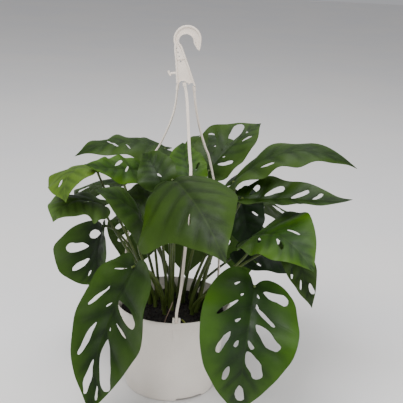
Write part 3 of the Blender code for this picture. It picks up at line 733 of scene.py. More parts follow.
def relief(leaf, along, across, seed):
    """Height of the quilted, waving surface over the smooth one, in metres."""
    length = leaf_length(leaf)
    half = half_width(leaf, 1 if across > 0 else -1)
    share = min(1.0, abs(across) / max(1e-6, half * max(0.15, reach(max(along, 0.06)))))
    swell = abs(math.sin(math.pi * VEINS * vein_phase(along, across / length))) ** 0.7
    quilt = QUILT * length * (swell - 0.5) * share ** 0.5 * (1 - share ** 4) * (1 - along ** 2)
    groove = GROOVE * length * math.exp(-((across / (GROOVE_WIDTH * length)) ** 2)) * (1 - along)
    turn_along = 2 * math.pi * (WAVES * along + 0.37 * seed)
    side = 1 if across > 0 else 0.7
    wave = WAVE * length * leaf.ruffle * math.sin(turn_along * side + side) * share ** 2
    wave *= 1 - max(0.0, along) ** 2
    lump = LUMP * length * noise.noise(Vector((along * 4, across / length * 5, seed * 3.1)))
    return quilt + groove + wave + lump


# %% Build one blade
GRAIN = 0.0033


def blade_fill(leaf, rings):
    """Inner points of a blade: rows beside the midrib and a triangular grid."""
    length = leaf_length(leaf)
    spots = [(x, y) for x in np.arange(0.002, length * 0.97, 0.0025) for y in (0.0, 0.0011, -0.0011)]
    reach_across = 0.5 * leaf.width * (1 + abs(leaf.skew))
    rows = np.arange(-0.08 * length, length, GRAIN * 0.87)
    for k, x in enumerate(rows):
        shift = 0.5 * GRAIN * (k % 2)
        spots += [(x, y + shift) for y in np.arange(-reach_across, reach_across, GRAIN)
                  if abs(y + shift) > 0.0024]
    spots = np.array(spots)
    keep = within(spots, np.array(rings[0]))
    for ring in rings[1:]:
        keep &= ~within(spots, np.array(ring))
    for ring in rings:
        for corner in np.array(ring):
            keep &= ((spots - corner) ** 2).sum(axis=1) > (0.0012) ** 2
    return spots[keep]


def build_blade(name, leaf, holes, seed):
    """The fine blade with its quilting, its rib below, its own map and its share of the half width."""
    length = leaf_length(leaf)
    rings = leaf_rings(leaf, holes)
    spots, faces = sheet_faces(rings, blade_fill(leaf, rings))

    def place(i, side):
        along, across = spots[i][0] / length, spots[i][1]
        point, face = blade_frame(leaf, along, across)
        height = relief(leaf, along, across, seed)
        rib = RIB * math.exp(-((across / RIB_WIDTH) ** 2)) * (1 - max(0.0, along)) if side < 0 else 0.0
        return point + face * (height + side * BLADE_THICK / 2 - rib)

    bm, source = raise_sheet(spots, faces, place)
    mapped = bm.loops.layers.uv.new("leaf_map")
    shares = bm.verts.layers.float.new("edge_share")
    for vert in bm.verts:
        along, across = spots[source[vert.index]][0] / length, spots[source[vert.index]][1]
        half = half_width(leaf, 1 if across > 0 else -1)
        vert[shares] = min(1.0, abs(across) / max(1e-6, half * max(0.08, reach(max(along, 0.06)))))
        for loop in vert.link_loops:
            loop[mapped].uv = (along, 0.5 + across / length)
    return mesh_from(bm, name, 50)


# %% [markdown]
# ## Leaf finishes
#
# A leaf's green comes from its age and its light: the old leaves are deep and bluish, the young ones
# yellow-green, and the near-black 'shade' tone is painted shade for the leaves deep in the plant's
# shadow.
# Each tone gets an upper finish and a paler, duller one for the underside. The veins are drawn with the
# blade's own map, so that they follow its bends, and the grooves along them are darkened as painted
# shade.


# %% Leaf finish
def leaf_threads(finish, widest):
    """The blade's own map, and the net of fine veins drawn on it."""
    leaf_map = finish.node("ShaderNodeUVMap", {"uv_map": "leaf_map"})
    net = finish.node(
        "ShaderNodeTexVoronoi", {"feature": "DISTANCE_TO_EDGE"}, {"Vector": leaf_map, "Scale": 46.0},
    )
    return leaf_map, finish.step(net, 0.0, widest, 1.0, 0.0)


def leaf_finish(name, deep, fresh, vein, gloss, margin):
    """The upper side of a blade."""
    finish = Finish(name, Specular_IOR_Level=0.2)
    leaf_map, threads = leaf_threads(finish, 0.10)
    along = finish.node("ShaderNodeSeparateXYZ", {}, {0: leaf_map})
    out = abs(Value(finish, along.socket.node.outputs[1]) - 0.5)
    share = finish.node("ShaderNodeAttribute", {"attribute_name": "edge_share"}, out="Fac")
    phase = (along - out * 0.1) / (out * VEIN_LEAN + 1) * VEINS
    off = abs(phase.maths("FRACT", phase + 0.5) - 0.5) / VEINS
    side_vein = finish.step(off, 0.0010, 0.0055, 1.0, 0.0) * finish.step(share, 0.80, 0.98, 1.0, 0.0)
    # Painted shade: two masks below, along the side veins and along the midrib, darken the colour in
    # their grooves.
    valley_shade = finish.step(off, 0.0, 0.050, 1.0, 0.0) * finish.step(share, 0.4, 1.0, 1.0, 0.1)
    midrib = finish.step(out, 0.0030, 0.0080, 1.0, 0.0)
    crease_shade = finish.step(out, 0.0, 0.075, 1.0, 0.0)
    cloud = finish.step(finish.grain(26, 4.0, 0.6), 0.34, 0.66)
    blotch = finish.step(finish.grain(9, 2.0), 0.35, 0.65)
    outward = finish.step(share, 0.25, 1.0) * margin
    colour = finish.blend(cloud * 0.30 + blotch * 0.20 + outward * 0.6, deep, fresh)
    # Painted shade in the vein grooves: the colour goes towards a darker copy of the deep green.
    colour = finish.blend(valley_shade * 0.62 + crease_shade * 0.45, colour, tuple(0.6 * c for c in deep))
    colour = finish.blend(threads * 0.10, colour, vein)
    colour = finish.blend(side_vein * 0.10, colour, vein)
    colour = finish.blend(midrib * 0.16, colour, vein)
    rough = finish.step(finish.grain(70, 3.0), 0.3, 0.7, gloss - 0.05, gloss + 0.10)
    height = 0.55 - side_vein * 0.35 - threads * 0.10 - midrib * 0.1 + finish.grain(900, 2.0) * 0.12
    return finish.paint(colour, rough, height, depth=0.0005, strength=0.55)


def underside_finish(name, deep, fresh):
    """The lower side: paler, duller, with the veins standing out."""
    pale = tuple(0.35 * a + 0.70 * b + 0.006 for a, b in zip(deep, fresh))
    finish = Finish(name, Specular_IOR_Level=0.15)
    _, threads = leaf_threads(finish, 0.12)
    cloud = finish.step(finish.grain(30, 3.0), 0.35, 0.65)
    colour = finish.blend(cloud * 0.5, pale, fresh)
    colour = finish.blend(threads * 0.18, colour, tuple(min(1.0, c * 1.4) for c in pale))
    rough = finish.step(cloud, 0.0, 1.0, 0.55, 0.68)
    return finish.paint(colour, rough, threads, depth=0.0003, strength=0.5)


# %% The tones
Tone = namedtuple("Tone", "deep fresh vein gloss margin")
TONES = {
    "sage": Tone(
        (0.0088, 0.0224, 0.0011), (0.0317, 0.0714, 0.0032),
        (0.0440, 0.0877, 0.0096), 0.50, 0.95),
    "deep": Tone(
        (0.0044, 0.0194, 0.0002), (0.0299, 0.0816, 0.0006),
        (0.0176, 0.0490, 0.0016), 0.46, 1.00),
    "moss": Tone(
        (0.0035, 0.0143, 0.0002), (0.0229, 0.0571, 0.0016),
        (0.0176, 0.0408, 0.0024), 0.46, 1.00),
    "blue": Tone(
        (0.0070, 0.0224, 0.0011), (0.0299, 0.0653, 0.0048),
        (0.0370, 0.0734, 0.0096), 0.44, 0.70),
    "olive": Tone(
        (0.0088, 0.0265, 0.0011), (0.0352, 0.0734, 0.0056),
        (0.0458, 0.0877, 0.0128), 0.48, 0.80),
    "silver": Tone(
        (0.0440, 0.0898, 0.0152), (0.0810, 0.1489, 0.0272),
        (0.0968, 0.1581, 0.0360), 0.48, 0.60),
    "lime": Tone(
        (0.0088, 0.0347, 0.0001), (0.0422, 0.1020, 0.0008),
        (0.0493, 0.1102, 0.0048), 0.48, 0.95),
    "pale": Tone(
        (0.0422, 0.0877, 0.0056), (0.0862, 0.1550, 0.0112),
        (0.1100, 0.1836, 0.0240), 0.52, 0.70),
    # Painted shade: a near-black copy of the greens, for the leaves that sit deep in the plant's shadow.
    "shade": Tone(
        (0.0018, 0.0122, 0.0002), (0.0070, 0.0306, 0.0005),
        (0.0088, 0.0326, 0.0016), 0.50, 0.60),
}
leaf_looks = {
    name: (leaf_finish(f"leaf_{name}", *tone), underside_finish(f"under_{name}", *tone[:2]))
    for name, tone in TONES.items()
}

# %% Build the blades
for number, (leaf_name, leaf) in enumerate(LEAVES.items()):
    blade = build_blade(f"blade_{leaf_name}", leaf, HOLES.get(leaf_name, []), number)
    hand_over(f"blade_{leaf_name}", blade, [f"leaf_{leaf_name}"], leaf_looks[leaf.tone])
print("blades", len(LEAVES), "triangles", sum(count for _, count in made[1:]))

# %% [markdown]
# ## Stalks
#
# A stalk leaves the soil in a wider sheath, thins upwards, and swells again under the blade, where it can
# turn the leaf to the light. All stalks, stems, roots and the shoot follow a path, so one Geometry
# Nodes tree sweeps them: the path is a plain line of edges, and the radius is a rule along it.


# %% The stem tree
def open_group(name, result, labels):
    """A new Geometry Nodes group with named inputs, their values in it and their identifiers."""
    group = bpy.data.node_groups.new(name, "GeometryNodeTree")
    sockets = {}
    for label, kind in labels.items():
        socket = group.interface.new_socket(label, in_out="INPUT", socket_type=f"NodeSocket{kind}")
        sockets[label] = socket.identifier
    group.interface.new_socket(result, in_out="OUTPUT", socket_type="NodeSocketGeometry")
    tree = Tree(group)
    given = group.nodes.new("NodeGroupInput")
    return group, tree, {label: Value(tree, given.outputs[label]) for label in sockets}, sockets


def stem_tree():
    """A tree that sweeps a ring along a line of edges."""
    group, tree, take, sockets = open_group("stem", "Stem", {
        "Path": "Geometry", "Foot Radius": "Float", "Top Radius": "Float", "Sheath": "Float",
        "Knuckle": "Float", "Sides": "Int", "Finish": "Material",
    })
    along = tree.node("GeometryNodeSplineParameter", out="Factor")
    plain = take["Foot Radius"] + (take["Top Radius"] - take["Foot Radius"]) * along
    foot = along.maths("MAXIMUM", 1 - along * 3.2, 0.0)
    knuckle = along.maths("MAXIMUM", 1 - abs(along - 0.965) * 22, 0.0)
    radius = plain * (1 + take["Sheath"] * foot * foot + take["Knuckle"] * knuckle)
    curve = tree.node("GeometryNodeMeshToCurve", {}, {"Mesh": take["Path"]})
    ring = tree.node(
        "GeometryNodeCurvePrimitiveCircle", {"mode": "RADIUS"},
        {"Resolution": take["Sides"], "Radius": 1.0},
    )
    sweep_values = {"Curve": curve, "Profile Curve": ring, "Scale": radius, "Fill Caps": True}
    solid = tree.node("GeometryNodeCurveToMesh", {}, sweep_values)
    solid = tree.node("GeometryNodeRealizeInstances", {}, {"Geometry": solid})
    solid = tree.node("GeometryNodeSetShadeSmooth", {}, {"Geometry": solid})
    solid = tree.node(
        "GeometryNodeSetMaterial", {}, {"Geometry": solid, "Material": take["Finish"]},
    )
    group.links.new(solid.socket, group.nodes.new("NodeGroupOutput").inputs[0])
    return group, sockets


STEM_TREE, STEM_SOCKETS = stem_tree()


def grow(tree, sockets, mesh, inputs):
    """Runs a tree on a mesh and returns the plain mesh that it makes."""
    holder = bpy.data.objects.new("grown", mesh)
    bpy.context.scene.collection.objects.link(holder)
    modifier = holder.modifiers.new("grow", "NODES")
    modifier.node_group = tree
    for label, value in inputs.items():
        modifier[sockets[label]] = value
    evaluated = holder.evaluated_get(bpy.context.evaluated_depsgraph_get())
    result = bpy.data.meshes.new_from_object(evaluated)
    holder.modifiers.remove(modifier)
    bpy.data.objects.remove(holder)
    return result


def line_mesh(path):
    """A path as a line of edges."""
    mesh = bpy.data.meshes.new("path")
    mesh.from_pydata([tuple(p) for p in path], [(i, i + 1) for i in range(len(path) - 1)], [])
    return mesh


def stem(name, path, foot, top, finish, sheath=0.0, knuckle=0.0, sides=14):
    inputs = {"Foot Radius": foot, "Top Radius": top, "Sheath": sheath, "Knuckle": knuckle,
              "Sides": sides, "Finish": finish}
    mesh = grow(STEM_TREE, STEM_SOCKETS, line_mesh(path), inputs)
    mesh.name = name
    return mesh


# %% Stalk finish
def stalk_finish(name, dark, light, flecks=0.35):
    """Smooth green skin with pale flecks and faint lengthwise streaks."""
    finish = Finish(name, Specular_IOR_Level=0.4)
    stretched = finish.node("ShaderNodeMapping", {}, {"Vector": finish.place, "Scale": (1, 1, 0.12)})
    streaks = finish.step(finish.grain(700, 3.0, at=stretched), 0.35, 0.65)
    cloud = finish.step(finish.grain(40, 3.0), 0.35, 0.65)
    colour = finish.blend(streaks * 0.4 + cloud * 0.5, dark, light)
    dots = finish.step(finish.grain(1100, 1.0), 0.64, 0.70)
    colour = finish.blend(dots * flecks, colour, tuple(min(1.0, c * 1.9) for c in light))
    rough = finish.step(cloud, 0.0, 1.0, 0.40, 0.52)
    return finish.paint(colour, rough, streaks, depth=0.0002, strength=0.4)


stalk_green = stalk_finish("stalk_green", (0.030, 0.052, 0.006), (0.094, 0.132, 0.024))
# Painted shade: a darker copy of the stalk skin, for the stalks of the leaves that sit in shadow.
stalk_painted_shade = stalk_finish("stalk_painted_shade", (0.012, 0.024, 0.003), (0.040, 0.062, 0.010))

# %% Grow the stalks
STALK_FOOT_RADIUS = 0.0024
STALK_TOP_RADIUS = 0.0016
STALK_GAP = 0.0005
STALK_STATIONS = 36
GAP = 0.0003


def stalk_path(leaf):
    """The stalk's course from the soil up and over to the underside of the blade's base."""
    base, tip = Vector(leaf.base), Vector(leaf.tip)
    chord = (tip - base).normalized()
    seat, face = blade_frame(leaf, STALK_TOP_RADIUS / (tip - base).length, 0)
    arrive = (face * 0.8 + chord * 0.45).normalized()
    end = seat - face * (BLADE_THICK / 2 + STALK_GAP)
    root = Vector((*leaf.root, SOIL_TOP + GAP))
    span = (end - root).length
    up = UP * span * leaf.rise * 0.55
    before = end - arrive * span * 0.22
    path = [root - UP * 0.003]
    for i in range(STALK_STATIONS):
        t = i / (STALK_STATIONS - 1)
        path.append(
            root * (1 - t) ** 3 + 3 * (root + up) * t * (1 - t) ** 2
            + 3 * before * t**2 * (1 - t) + end * t**3
        )
    return path + [end + arrive * 0.0008]


for leaf_name, leaf in LEAVES.items():
    # The stalks of leaves in the 'shade' tone take the darker skin, which is painted shade.
    skin = stalk_painted_shade if leaf.tone == "shade" else stalk_green
    stalk = stem(f"petiole_{leaf_name}", stalk_path(leaf), STALK_FOOT_RADIUS, STALK_TOP_RADIUS, skin,
                 sheath=0.35, knuckle=0.28)
    hand_over(f"petiole_{leaf_name}", stalk, [f"stalk_{leaf_name}"])
print("petioles", len(LEAVES))

# %% [markdown]
# Two thick vine stems carry the stalks. Rings on them mark where older leaves fell off. A thin pinkish
# aerial root hangs from one, and a small yellow-green shoot curls up beside the front lug.

# %% Vines, root and shoot
VINES = {
    "vine_left": [(0.001, 0.067, SOIL_TOP - 0.002), (-0.019, 0.067, 0.163), (-0.038, 0.067, 0.201)],
    "vine_right": [(0.036, 0.009, SOIL_TOP - 0.002), (0.045, 0.009, 0.165), (0.054, 0.008, 0.205)],
}
AERIAL_ROOT = [
    (-0.008, -0.060, SOIL_TOP - 0.001), (-0.005, -0.054, 0.126), (0.000, -0.046, 0.138),
    (0.003, -0.040, 0.146),
]
SHOOT = [(0.024, -0.056, SOIL_TOP - 0.001), (0.022, -0.055, 0.121), (0.017, -0.054, 0.126)]


def add_rings(mesh, path, radius, heights):
    """Joins the raised scars of fallen leaves to a stem's mesh."""
    bm = bmesh.new()
    bm.from_mesh(mesh)
    for part in heights:
        spot = path[int(part * (len(path) - 1))]
        ahead = (path[-1] - path[0]).normalized()
        turn_up = ahead.to_track_quat("Z", "Y").to_matrix().to_4x4()
        place = Matrix.Translation(spot) @ turn_up
        ring = bmesh.ops.create_uvsphere(bm, u_segments=20, v_segments=8, radius=1,
                                         matrix=place @ Matrix.Diagonal((radius, radius, 0.0011, 1)))
        for face in {f for v in ring["verts"] for f in v.link_faces}:
            face.smooth = True
    bm.to_mesh(mesh)
    bm.free()


for vine_name, points in VINES.items():
    path = smooth_curve(points, 12)
    vine = stem(f"stem_{vine_name}", path, 0.0034, 0.0026, stalk_green, sheath=0.25, sides=20)
    add_rings(vine, path, 0.0038, (0.28, 0.52, 0.80))
    hand_over(f"stem_{vine_name}", vine, [vine_name])

root_skin = stalk_finish("root_skin", (0.16, 0.10, 0.07), (0.36, 0.25, 0.20), 0.15)
shoot_skin = stalk_finish("shoot_skin", (0.16, 0.19, 0.02), (0.34, 0.38, 0.06), 0.2)
root = stem("hanging_root", smooth_curve(AERIAL_ROOT, 10), 0.0008, 0.0007, root_skin, sides=10)
hand_over("hanging_root", root, ["aerial_root"])
shoot = stem("curled_shoot", smooth_curve(SHOOT, 10), 0.0018, 0.0010, shoot_skin, sheath=0.3)
hand_over("curled_shoot", shoot, ["young_shoot"])

# %% [markdown]
# ## Peat
#
# The soil is dark, fibrous peat: a bumpy surface with loose crumbs and a few paler fibres.
# The surface is a disc of rings moved by noise. The crumbs repeat in hundreds, which is what Geometry
# Nodes are for: points are scattered on the disc and each takes a small stone of its own size and turn.


# %% The peat bed
def peat_height(x, y):
    """Height of the peat over its level, in metres."""
    slow = noise.noise(Vector((x * 45, y * 45, 1.7)))
    fine = noise.noise(Vector((x * 220, y * 220, 5.3)))
    return 0.0018 * slow + 0.0009 * fine


def peat_profile(azimuth):
    """From the axis below, up the side, and in over the bumpy top."""
    inset = WALL + 0.0008
    points = [(0.0, FLOOR + GAP), (wall_radius(FLOOR) - inset - 0.002, FLOOR + GAP)]
    points += [(wall_radius(z) - inset, z) for z in (0.03, 0.07, 0.105)]
    edge = wall_radius(SOIL_TOP) - 0.0062
    for radius in np.linspace(edge, 0.0, 46):
        x, y, _ = polar(radius, azimuth)
        level = SOIL_TOP - 0.0012 + peat_height(x, y)
        points.append((float(radius), level if radius > 0 else SOIL_TOP - 0.0012 + peat_height(0, 0)))
    return points


# %% Crumbs
def crumb_tree():
    """A tree that scatters crumbs on the upward faces of a mesh."""
    group, tree, take, sockets = open_group("crumbs", "Peat", {
        "Bed": "Geometry", "To a square metre": "Float", "Smallest": "Float", "Largest": "Float",
        "Seed": "Int", "Finish": "Material",
    })
    normal = tree.node("GeometryNodeInputNormal")
    rise = tree.node("ShaderNodeSeparateXYZ", {}, {0: normal}, out=2)
    top = tree.node("FunctionNodeCompare", {"data_type": "FLOAT", "operation": "GREATER_THAN"},
                    {0: rise, 1: 0.6})
    points = tree.node(
        "GeometryNodeDistributePointsOnFaces", {"distribute_method": "RANDOM"},
        {"Mesh": take["Bed"], "Selection": top, "Density": take["To a square metre"],
         "Seed": take["Seed"]},
    )
    stone = tree.node("GeometryNodeMeshIcoSphere", {}, {"Radius": 1.0, "Subdivisions": 1})
    turned = tree.node("FunctionNodeRandomValue", {"data_type": "FLOAT_VECTOR"},
                       {0: (0, 0, 0), 1: (6.28, 6.28, 6.28), "Seed": take["Seed"]})
    size = tree.node("FunctionNodeRandomValue", {"data_type": "FLOAT"},
                     {2: take["Smallest"], 3: take["Largest"], "Seed": take["Seed"]}, out=1)
    flat = tree.node("ShaderNodeCombineXYZ", {}, {0: size * 1.5, 1: size, 2: size * 0.6})
    crumbs = tree.node(
        "GeometryNodeInstanceOnPoints", {},
        {"Points": points, "Instance": stone, "Rotation": turned, "Scale": flat},
    )
    crumbs = tree.node("GeometryNodeRealizeInstances", {}, {"Geometry": crumbs})
    jitter = tree.node("ShaderNodeTexNoise", {"noise_dimensions": "3D"}, {"Scale": 900.0}, out=1)
    push = tree.node("ShaderNodeVectorMath", {"operation": "MULTIPLY_ADD"},
                     {0: jitter, 1: (0.0022,) * 3, 2: (-0.0011,) * 3})
    crumbs = tree.node("GeometryNodeSetPosition", {}, {"Geometry": crumbs, "Offset": push})
    join = group.nodes.new("GeometryNodeJoinGeometry")
    group.links.new(take["Bed"].socket, join.inputs[0])
    group.links.new(crumbs.socket, join.inputs[0])
    whole = tree.node("GeometryNodeRealizeInstances", {}, {"Geometry": Value(tree, join.outputs[0])})
    whole = tree.node(
        "GeometryNodeSetMaterial", {}, {"Geometry": whole, "Material": take["Finish"]},
    )
    group.links.new(whole.socket, group.nodes.new("NodeGroupOutput").inputs[0])
    return group, sockets


def peat_finish():
    """Near-black moist peat with brown fibres and damp, shiny patches."""
    finish = Finish("peat", Specular_IOR_Level=0.4)
    lump = finish.step(finish.grain(160, 4.0), 0.35, 0.68)
    colour = finish.blend(lump, (0.0015, 0.0009, 0.0006), (0.008, 0.0045, 0.003))
    fibre = finish.step(finish.grain(620, 2.0), 0.62, 0.70)
    colour = finish.blend(fibre * 0.5, colour, (0.070, 0.042, 0.024))
    rough = finish.step(finish.grain(90, 2.0), 0.4, 0.6, 0.70, 0.95)
    return finish.paint(colour, rough, finish.grain(1200, 4.0), depth=0.0008, strength=0.8)


CRUMB_TREE, CRUMB_SOCKETS = crumb_tree()
bed = mesh_from(turn(peat_profile, 120), "peat_bed", 60)
crumb_inputs = {"To a square metre": 52000.0, "Smallest": 0.0006, "Largest": 0.0017, "Seed": 4,
                "Finish": peat_finish()}
peat = grow(CRUMB_TREE, CRUMB_SOCKETS, bed, crumb_inputs)
hand_over("peat_bed", peat, ["soil"])
print("peat triangles", made[-1][1])

# %% [markdown]
# ## The hanger
#
# The hook is a thin web between two raised rails, which is how such mouldings stay stiff with little
# plastic. The web is a sheet with its row of holes, and each rail is a bar swept along the hook's edge.
# The strands are plain flat straps, swept with a rounded section and kept flat towards the pot's wall.


# %% Sweep a flat bar
def flat_section(width, thick, edge):
    """A rounded rectangle as (across, out) points."""
    points = []
    for sx, sy, start in ((1, -1, -90), (1, 1, 0), (-1, 1, 90), (-1, -1, 180)):
        for step in (0, 45, 90):
            angle = math.radians(start + step)
            points.append((sx * (width / 2 - edge) + edge * math.cos(angle),
                           sy * (thick / 2 - edge) + edge * math.sin(angle)))
    return points


def sweep_bar(bm, path, section, facing, close=False):
    """Adds a bar with the given section, kept facing one way, along a path."""
    rows = []
    count = len(path)
    for i, point in enumerate(path):
        after = path[(i + 1) % count] if close else path[min(i + 1, count - 1)]
        before = path[i - 1] if close or i else path[0]
        ahead = (after - before).normalized()
        side = facing.cross(ahead).normalized()
        out = ahead.cross(side)
        rows.append([bm.verts.new(point + side * a + out * b) for a, b in section])
    pairs = list(zip(rows, rows[1:])) + ([(rows[-1], rows[0])] if close else [])
    for low, high in pairs:
        for j in range(len(low)):
            k = (j + 1) % len(low)
            bm.faces.new((low[j], low[k], high[k], high[j]))
    if not close:
        bm.faces.new(list(reversed(rows[0])))
        bm.faces.new(rows[-1])


def arc(centre, radius, start, end, steps):
    angles = [math.radians(start + (end - start) * i / steps) for i in range(steps + 1)]
    return [(centre[0] + radius * math.cos(a), centre[1] + radius * math.sin(a)) for a in angles]


def upright(points):
    """(x, z) points as places in the hook's plane."""
    return [Vector((x, 0, z)) for x, z in points]


# %% The hook
CROOK = (0.0055, 0.5145)
EYE = (0.0040, 0.5115)
RAIL_THICK = 0.0050
WEB_THICK = 0.0014


def hook_outline():
    """The hook's edge: crook, tip, inner edge, two arches, barb and left edge."""
    crook = arc(CROOK, 0.0186, 205, -14, 40)
    tip = [(0.0236, 0.5052), (0.0217, 0.4999), (0.0192, 0.5027), (0.0158, 0.5085)]
    inner = arc(EYE, 0.0102, -5, 190, 30)
    right_edge = [(-0.0018, 0.5052), (0.0037, 0.4918), (0.0117, 0.4715), (0.0190, 0.4516)]
    arches = arc((0.0142, 0.4524), 0.0036, 10, 150, 10) + arc((0.0020, 0.4524), 0.0058, 40, 165, 14)
    left_edge = [(-0.0072, 0.4540), (-0.0082, 0.4690), (-0.0100, 0.4880), (-0.0118, 0.4990)]
    return crook + tip + inner + right_edge + arches + left_edge


def hook_holes():
    """The row of small holes down the shank and the larger one at its foot."""
    rings = [arc((-0.0106 + 0.0019 * i, 0.5072 - 0.0054 * i), 0.0010, 0, 330, 11) for i in range(4)]
    rings.append(arc((-0.0025, 0.4842), 0.0013, 0, 330, 11))
    return rings


def build_hook():
    rings = [hook_outline()] + hook_holes()
    spots, faces = sheet_faces(rings, [])
    half = WEB_THICK / 2
    bm, _ = raise_sheet(spots, faces, lambda i, side: Vector((spots[i][0], -side * half, spots[i][1])))
    face_front = Vector((0, 1, 0))
    outer = smooth_curve([(-0.0062, 0.4546), (-0.0072, 0.4680), (-0.0090, 0.4880), (-0.0108, 0.4990)], 6)
    outer = [tuple(p) for p in outer] + arc(CROOK, 0.0177, 204, -12, 48)
    outer += [(0.0226, 0.5058), (0.0215, 0.5012)]
    inner = [(0.0204, 0.5022), (0.0172, 0.5070)] + arc(EYE, 0.0111, -4, 188, 36)
    inner += [tuple(p) for p in smooth_curve(
        [(-0.0024, 0.5040), (0.0028, 0.4914), (0.0107, 0.4712), (0.0180, 0.4522)], 6)]
    left_arch = arc((0.0020, 0.4518), 0.0068, 30, 172, 16)
    right_arch = arc((0.0140, 0.4518), 0.0046, 5, 160, 14)
    foot = [(-0.0062, 0.4544), (-0.0046, 0.4536)]
    for path, width, thick in ((outer, 0.0024, RAIL_THICK), (inner, 0.0022, RAIL_THICK),
                               (left_arch, 0.0012, 0.0042), (right_arch, 0.0012, 0.0042),
                               (foot, 0.0018, 0.0046)):
        sweep_bar(bm, upright(path), flat_section(width, thick, 0.0005), face_front)
    brace = [(-0.0078, 0.4870), (-0.0024, 0.4872), (0.0030, 0.4888)]
    sweep_bar(bm, upright(brace), flat_section(0.0011, 0.0036, 0.0003), face_front)
    stem_bar = [(-0.0072, 0.4682), (-0.0125, 0.4678), (-0.0158, 0.4672)]
    sweep_bar(bm, upright(stem_bar), flat_section(0.0026, 0.0040, 0.0006), face_front)
    head = [(-0.0152, 0.4644), (-0.0176, 0.4670), (-0.0188, 0.4704)]
    sweep_bar(bm, upright(head), flat_section(0.0028, 0.0044, 0.0008), face_front)
    bmesh.ops.recalc_face_normals(bm, faces=bm.faces)
    for face in bm.faces:
        face.material_index = 0
    return mesh_from(bm, "hook_moulding", 40)


hanger_plastic = moulded_plastic("hanger_plastic", (0.85, 0.755, 0.66), (0.79, 0.695, 0.60),
                                 (0.58, 0.52, 0.44), 0.42)
hand_over("hook_moulding", build_hook(), ["hanger_hook"], [hanger_plastic])

# %% The strands
STRAND_WIDTH = 0.0040
STRAND_THICK = 0.0018
STRAND_POINTS = {
    "front": [
        (0.0033, 0.0000, 0.4558), (0.0084, -0.0020, 0.4320), (0.0157, -0.0200, 0.3660),
        (0.0193, -0.0300, 0.3400), (0.0202, -0.0450, 0.3020), (0.0199, -0.0560, 0.2770),
        (0.0186, -0.0680, 0.2425), (0.0172, -0.0770, 0.2115), (0.0155, -0.0815, 0.1820),
    ],
    "back_left": [
        (-0.0052, 0.0000, 0.4528), (-0.0078, 0.0010, 0.4220), (-0.0145, 0.0030, 0.3960),
        (-0.0276, 0.0070, 0.3640), (-0.0401, 0.0100, 0.3410), (-0.0580, 0.0190, 0.2850),
        (-0.0700, 0.0270, 0.2300), (-0.0755, 0.0303, 0.1750),
    ],
    "back_right": [
        (0.0170, 0.0002, 0.4508), (0.0199, 0.0030, 0.4275), (0.0232, 0.0060, 0.4085),
        (0.0282, 0.0100, 0.3875), (0.0357, 0.0140, 0.3635), (0.0430, 0.0180, 0.3440),
        (0.0560, 0.0310, 0.2850), (0.0625, 0.0430, 0.2300), (0.0645, 0.0490, 0.1750),
    ],
}


def build_strand(name, azimuth):
    """One strap from the hook to its socket, with the small stop that the hook's foot holds."""
    seat = RIM_RADIUS - 0.0003 - LUG_DEPTH / 2
    ends = [polar(seat, azimuth, z) for z in (0.150, 0.138, POT_HEIGHT - 0.012 + GAP)]
    path = smooth_curve([Vector(p) for p in STRAND_POINTS[name]] + ends, 8)
    bm = bmesh.new()
    section = flat_section(STRAND_WIDTH, STRAND_THICK, 0.0004)
    sweep_bar(bm, path, section, polar(1, azimuth))
    collar = [path[0] + UP * 0.0001, path[2]]
    sweep_bar(bm, collar, flat_section(STRAND_WIDTH + 0.0010, STRAND_THICK + 0.0008, 0.0004),
              polar(1, azimuth))
    bmesh.ops.recalc_face_normals(bm, faces=bm.faces)
    return mesh_from(bm, f"strap_{name}", 40)


for strand_name, strand_azimuth in LUG_AZIMUTHS.items():
    strap = build_strand(strand_name, strand_azimuth)
    hand_over(f"strap_{strand_name}", strap, [f"hanger_strand_{strand_name}"],
              [hanger_plastic])
print("pieces", len(made), "triangles", sum(count for _, count in made))

# %% [markdown]
# ## Studio
#
# A plain pale floor, a large soft light from above and in front, a weaker one low on the right, one from
# above and behind, and a pale surround. The camera looks down a little from the front, with the long
# lens that the photograph's flattened perspective asks for.

# %% Floor and light
FLOOR_HALF = 6.0
FLOOR_PALE = (0.84, 0.82, 0.80)
FLOOR_COOL = (0.81, 0.80, 0.80)
floor_bm = bmesh.new()
bmesh.ops.create_grid(floor_bm, x_segments=1, y_segments=1, size=FLOOR_HALF)
floor = bpy.data.objects.new("floor", mesh_from(floor_bm, "floor"))
floor_finish = Finish("floor_paint", Roughness=0.8)
floor_tint = floor_finish.step(floor_finish.grain(3, 2.0), 0.3, 0.7)
floor.data.materials.append(floor_finish.paint(floor_finish.blend(floor_tint, FLOOR_PALE, FLOOR_COOL)))
floor.location.z = -0.0005
bpy.context.scene.collection.objects.link(floor)


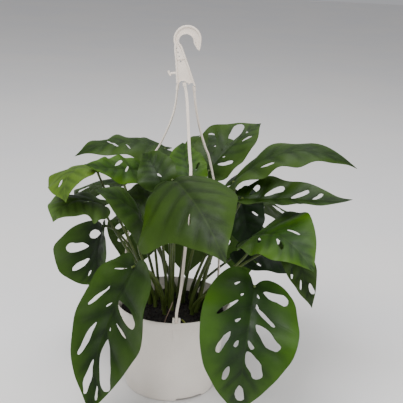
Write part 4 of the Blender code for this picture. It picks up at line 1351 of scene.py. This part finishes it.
def soft_light(name, place, aim, size, power):
    lamp = bpy.data.lights.new(name, "AREA")
    lamp.shape = "SQUARE"
    lamp.size = size
    lamp.energy = power
    holder = bpy.data.objects.new(name, lamp)
    holder.location = place
    holder.rotation_euler = (Vector(aim) - Vector(place)).to_track_quat("-Z", "Y").to_euler()
    bpy.context.scene.collection.objects.link(holder)


LIGHTS = {
    "key": ((-0.6, -1.2, 2.3), (0, 0, 0.25), 1.5, 78),
    "fill": ((1.5, -1.9, 0.8), (0, 0, 0.25), 1.6, 21),
    "top": ((0.3, 0.7, 2.3), (0, 0, 0.2), 1.6, 22),
}
for light_name, light in LIGHTS.items():
    soft_light(light_name, *light)
SURROUND_COLOUR = (0.95, 0.96, 1.0, 1)
SURROUND_STRENGTH = 0.42
surround = bpy.data.worlds.new("surround")
surround.use_nodes = True
surround.node_tree.nodes["Background"].inputs["Color"].default_value = SURROUND_COLOUR
surround.node_tree.nodes["Background"].inputs["Strength"].default_value = SURROUND_STRENGTH
bpy.context.scene.world = surround

# %% Camera
CAMERA_PLACE = Vector((0.0764, -1.2423, 0.694))
CAMERA_PITCH = 0.317
CAMERA_YAW = -0.0331
CAMERA_ROLL = 0.0505
CAMERA_LENS = 82.1

ahead = Vector((math.sin(CAMERA_YAW) * math.cos(CAMERA_PITCH),
                math.cos(CAMERA_YAW) * math.cos(CAMERA_PITCH), -math.sin(CAMERA_PITCH)))
level = Vector((math.cos(CAMERA_YAW), -math.sin(CAMERA_YAW), 0))
above = level.cross(ahead)
right = level * math.cos(CAMERA_ROLL) + above * math.sin(CAMERA_ROLL)
upward = above * math.cos(CAMERA_ROLL) - level * math.sin(CAMERA_ROLL)
lens = bpy.data.cameras.new("camera")
lens.sensor_width = 36
lens.lens = CAMERA_LENS
camera = bpy.data.objects.new("camera", lens)
stand = Matrix((right, upward, -ahead)).transposed().to_4x4()
stand.translation = CAMERA_PLACE
camera.matrix_world = stand
bpy.context.scene.collection.objects.link(camera)
bpy.context.scene.camera = camera
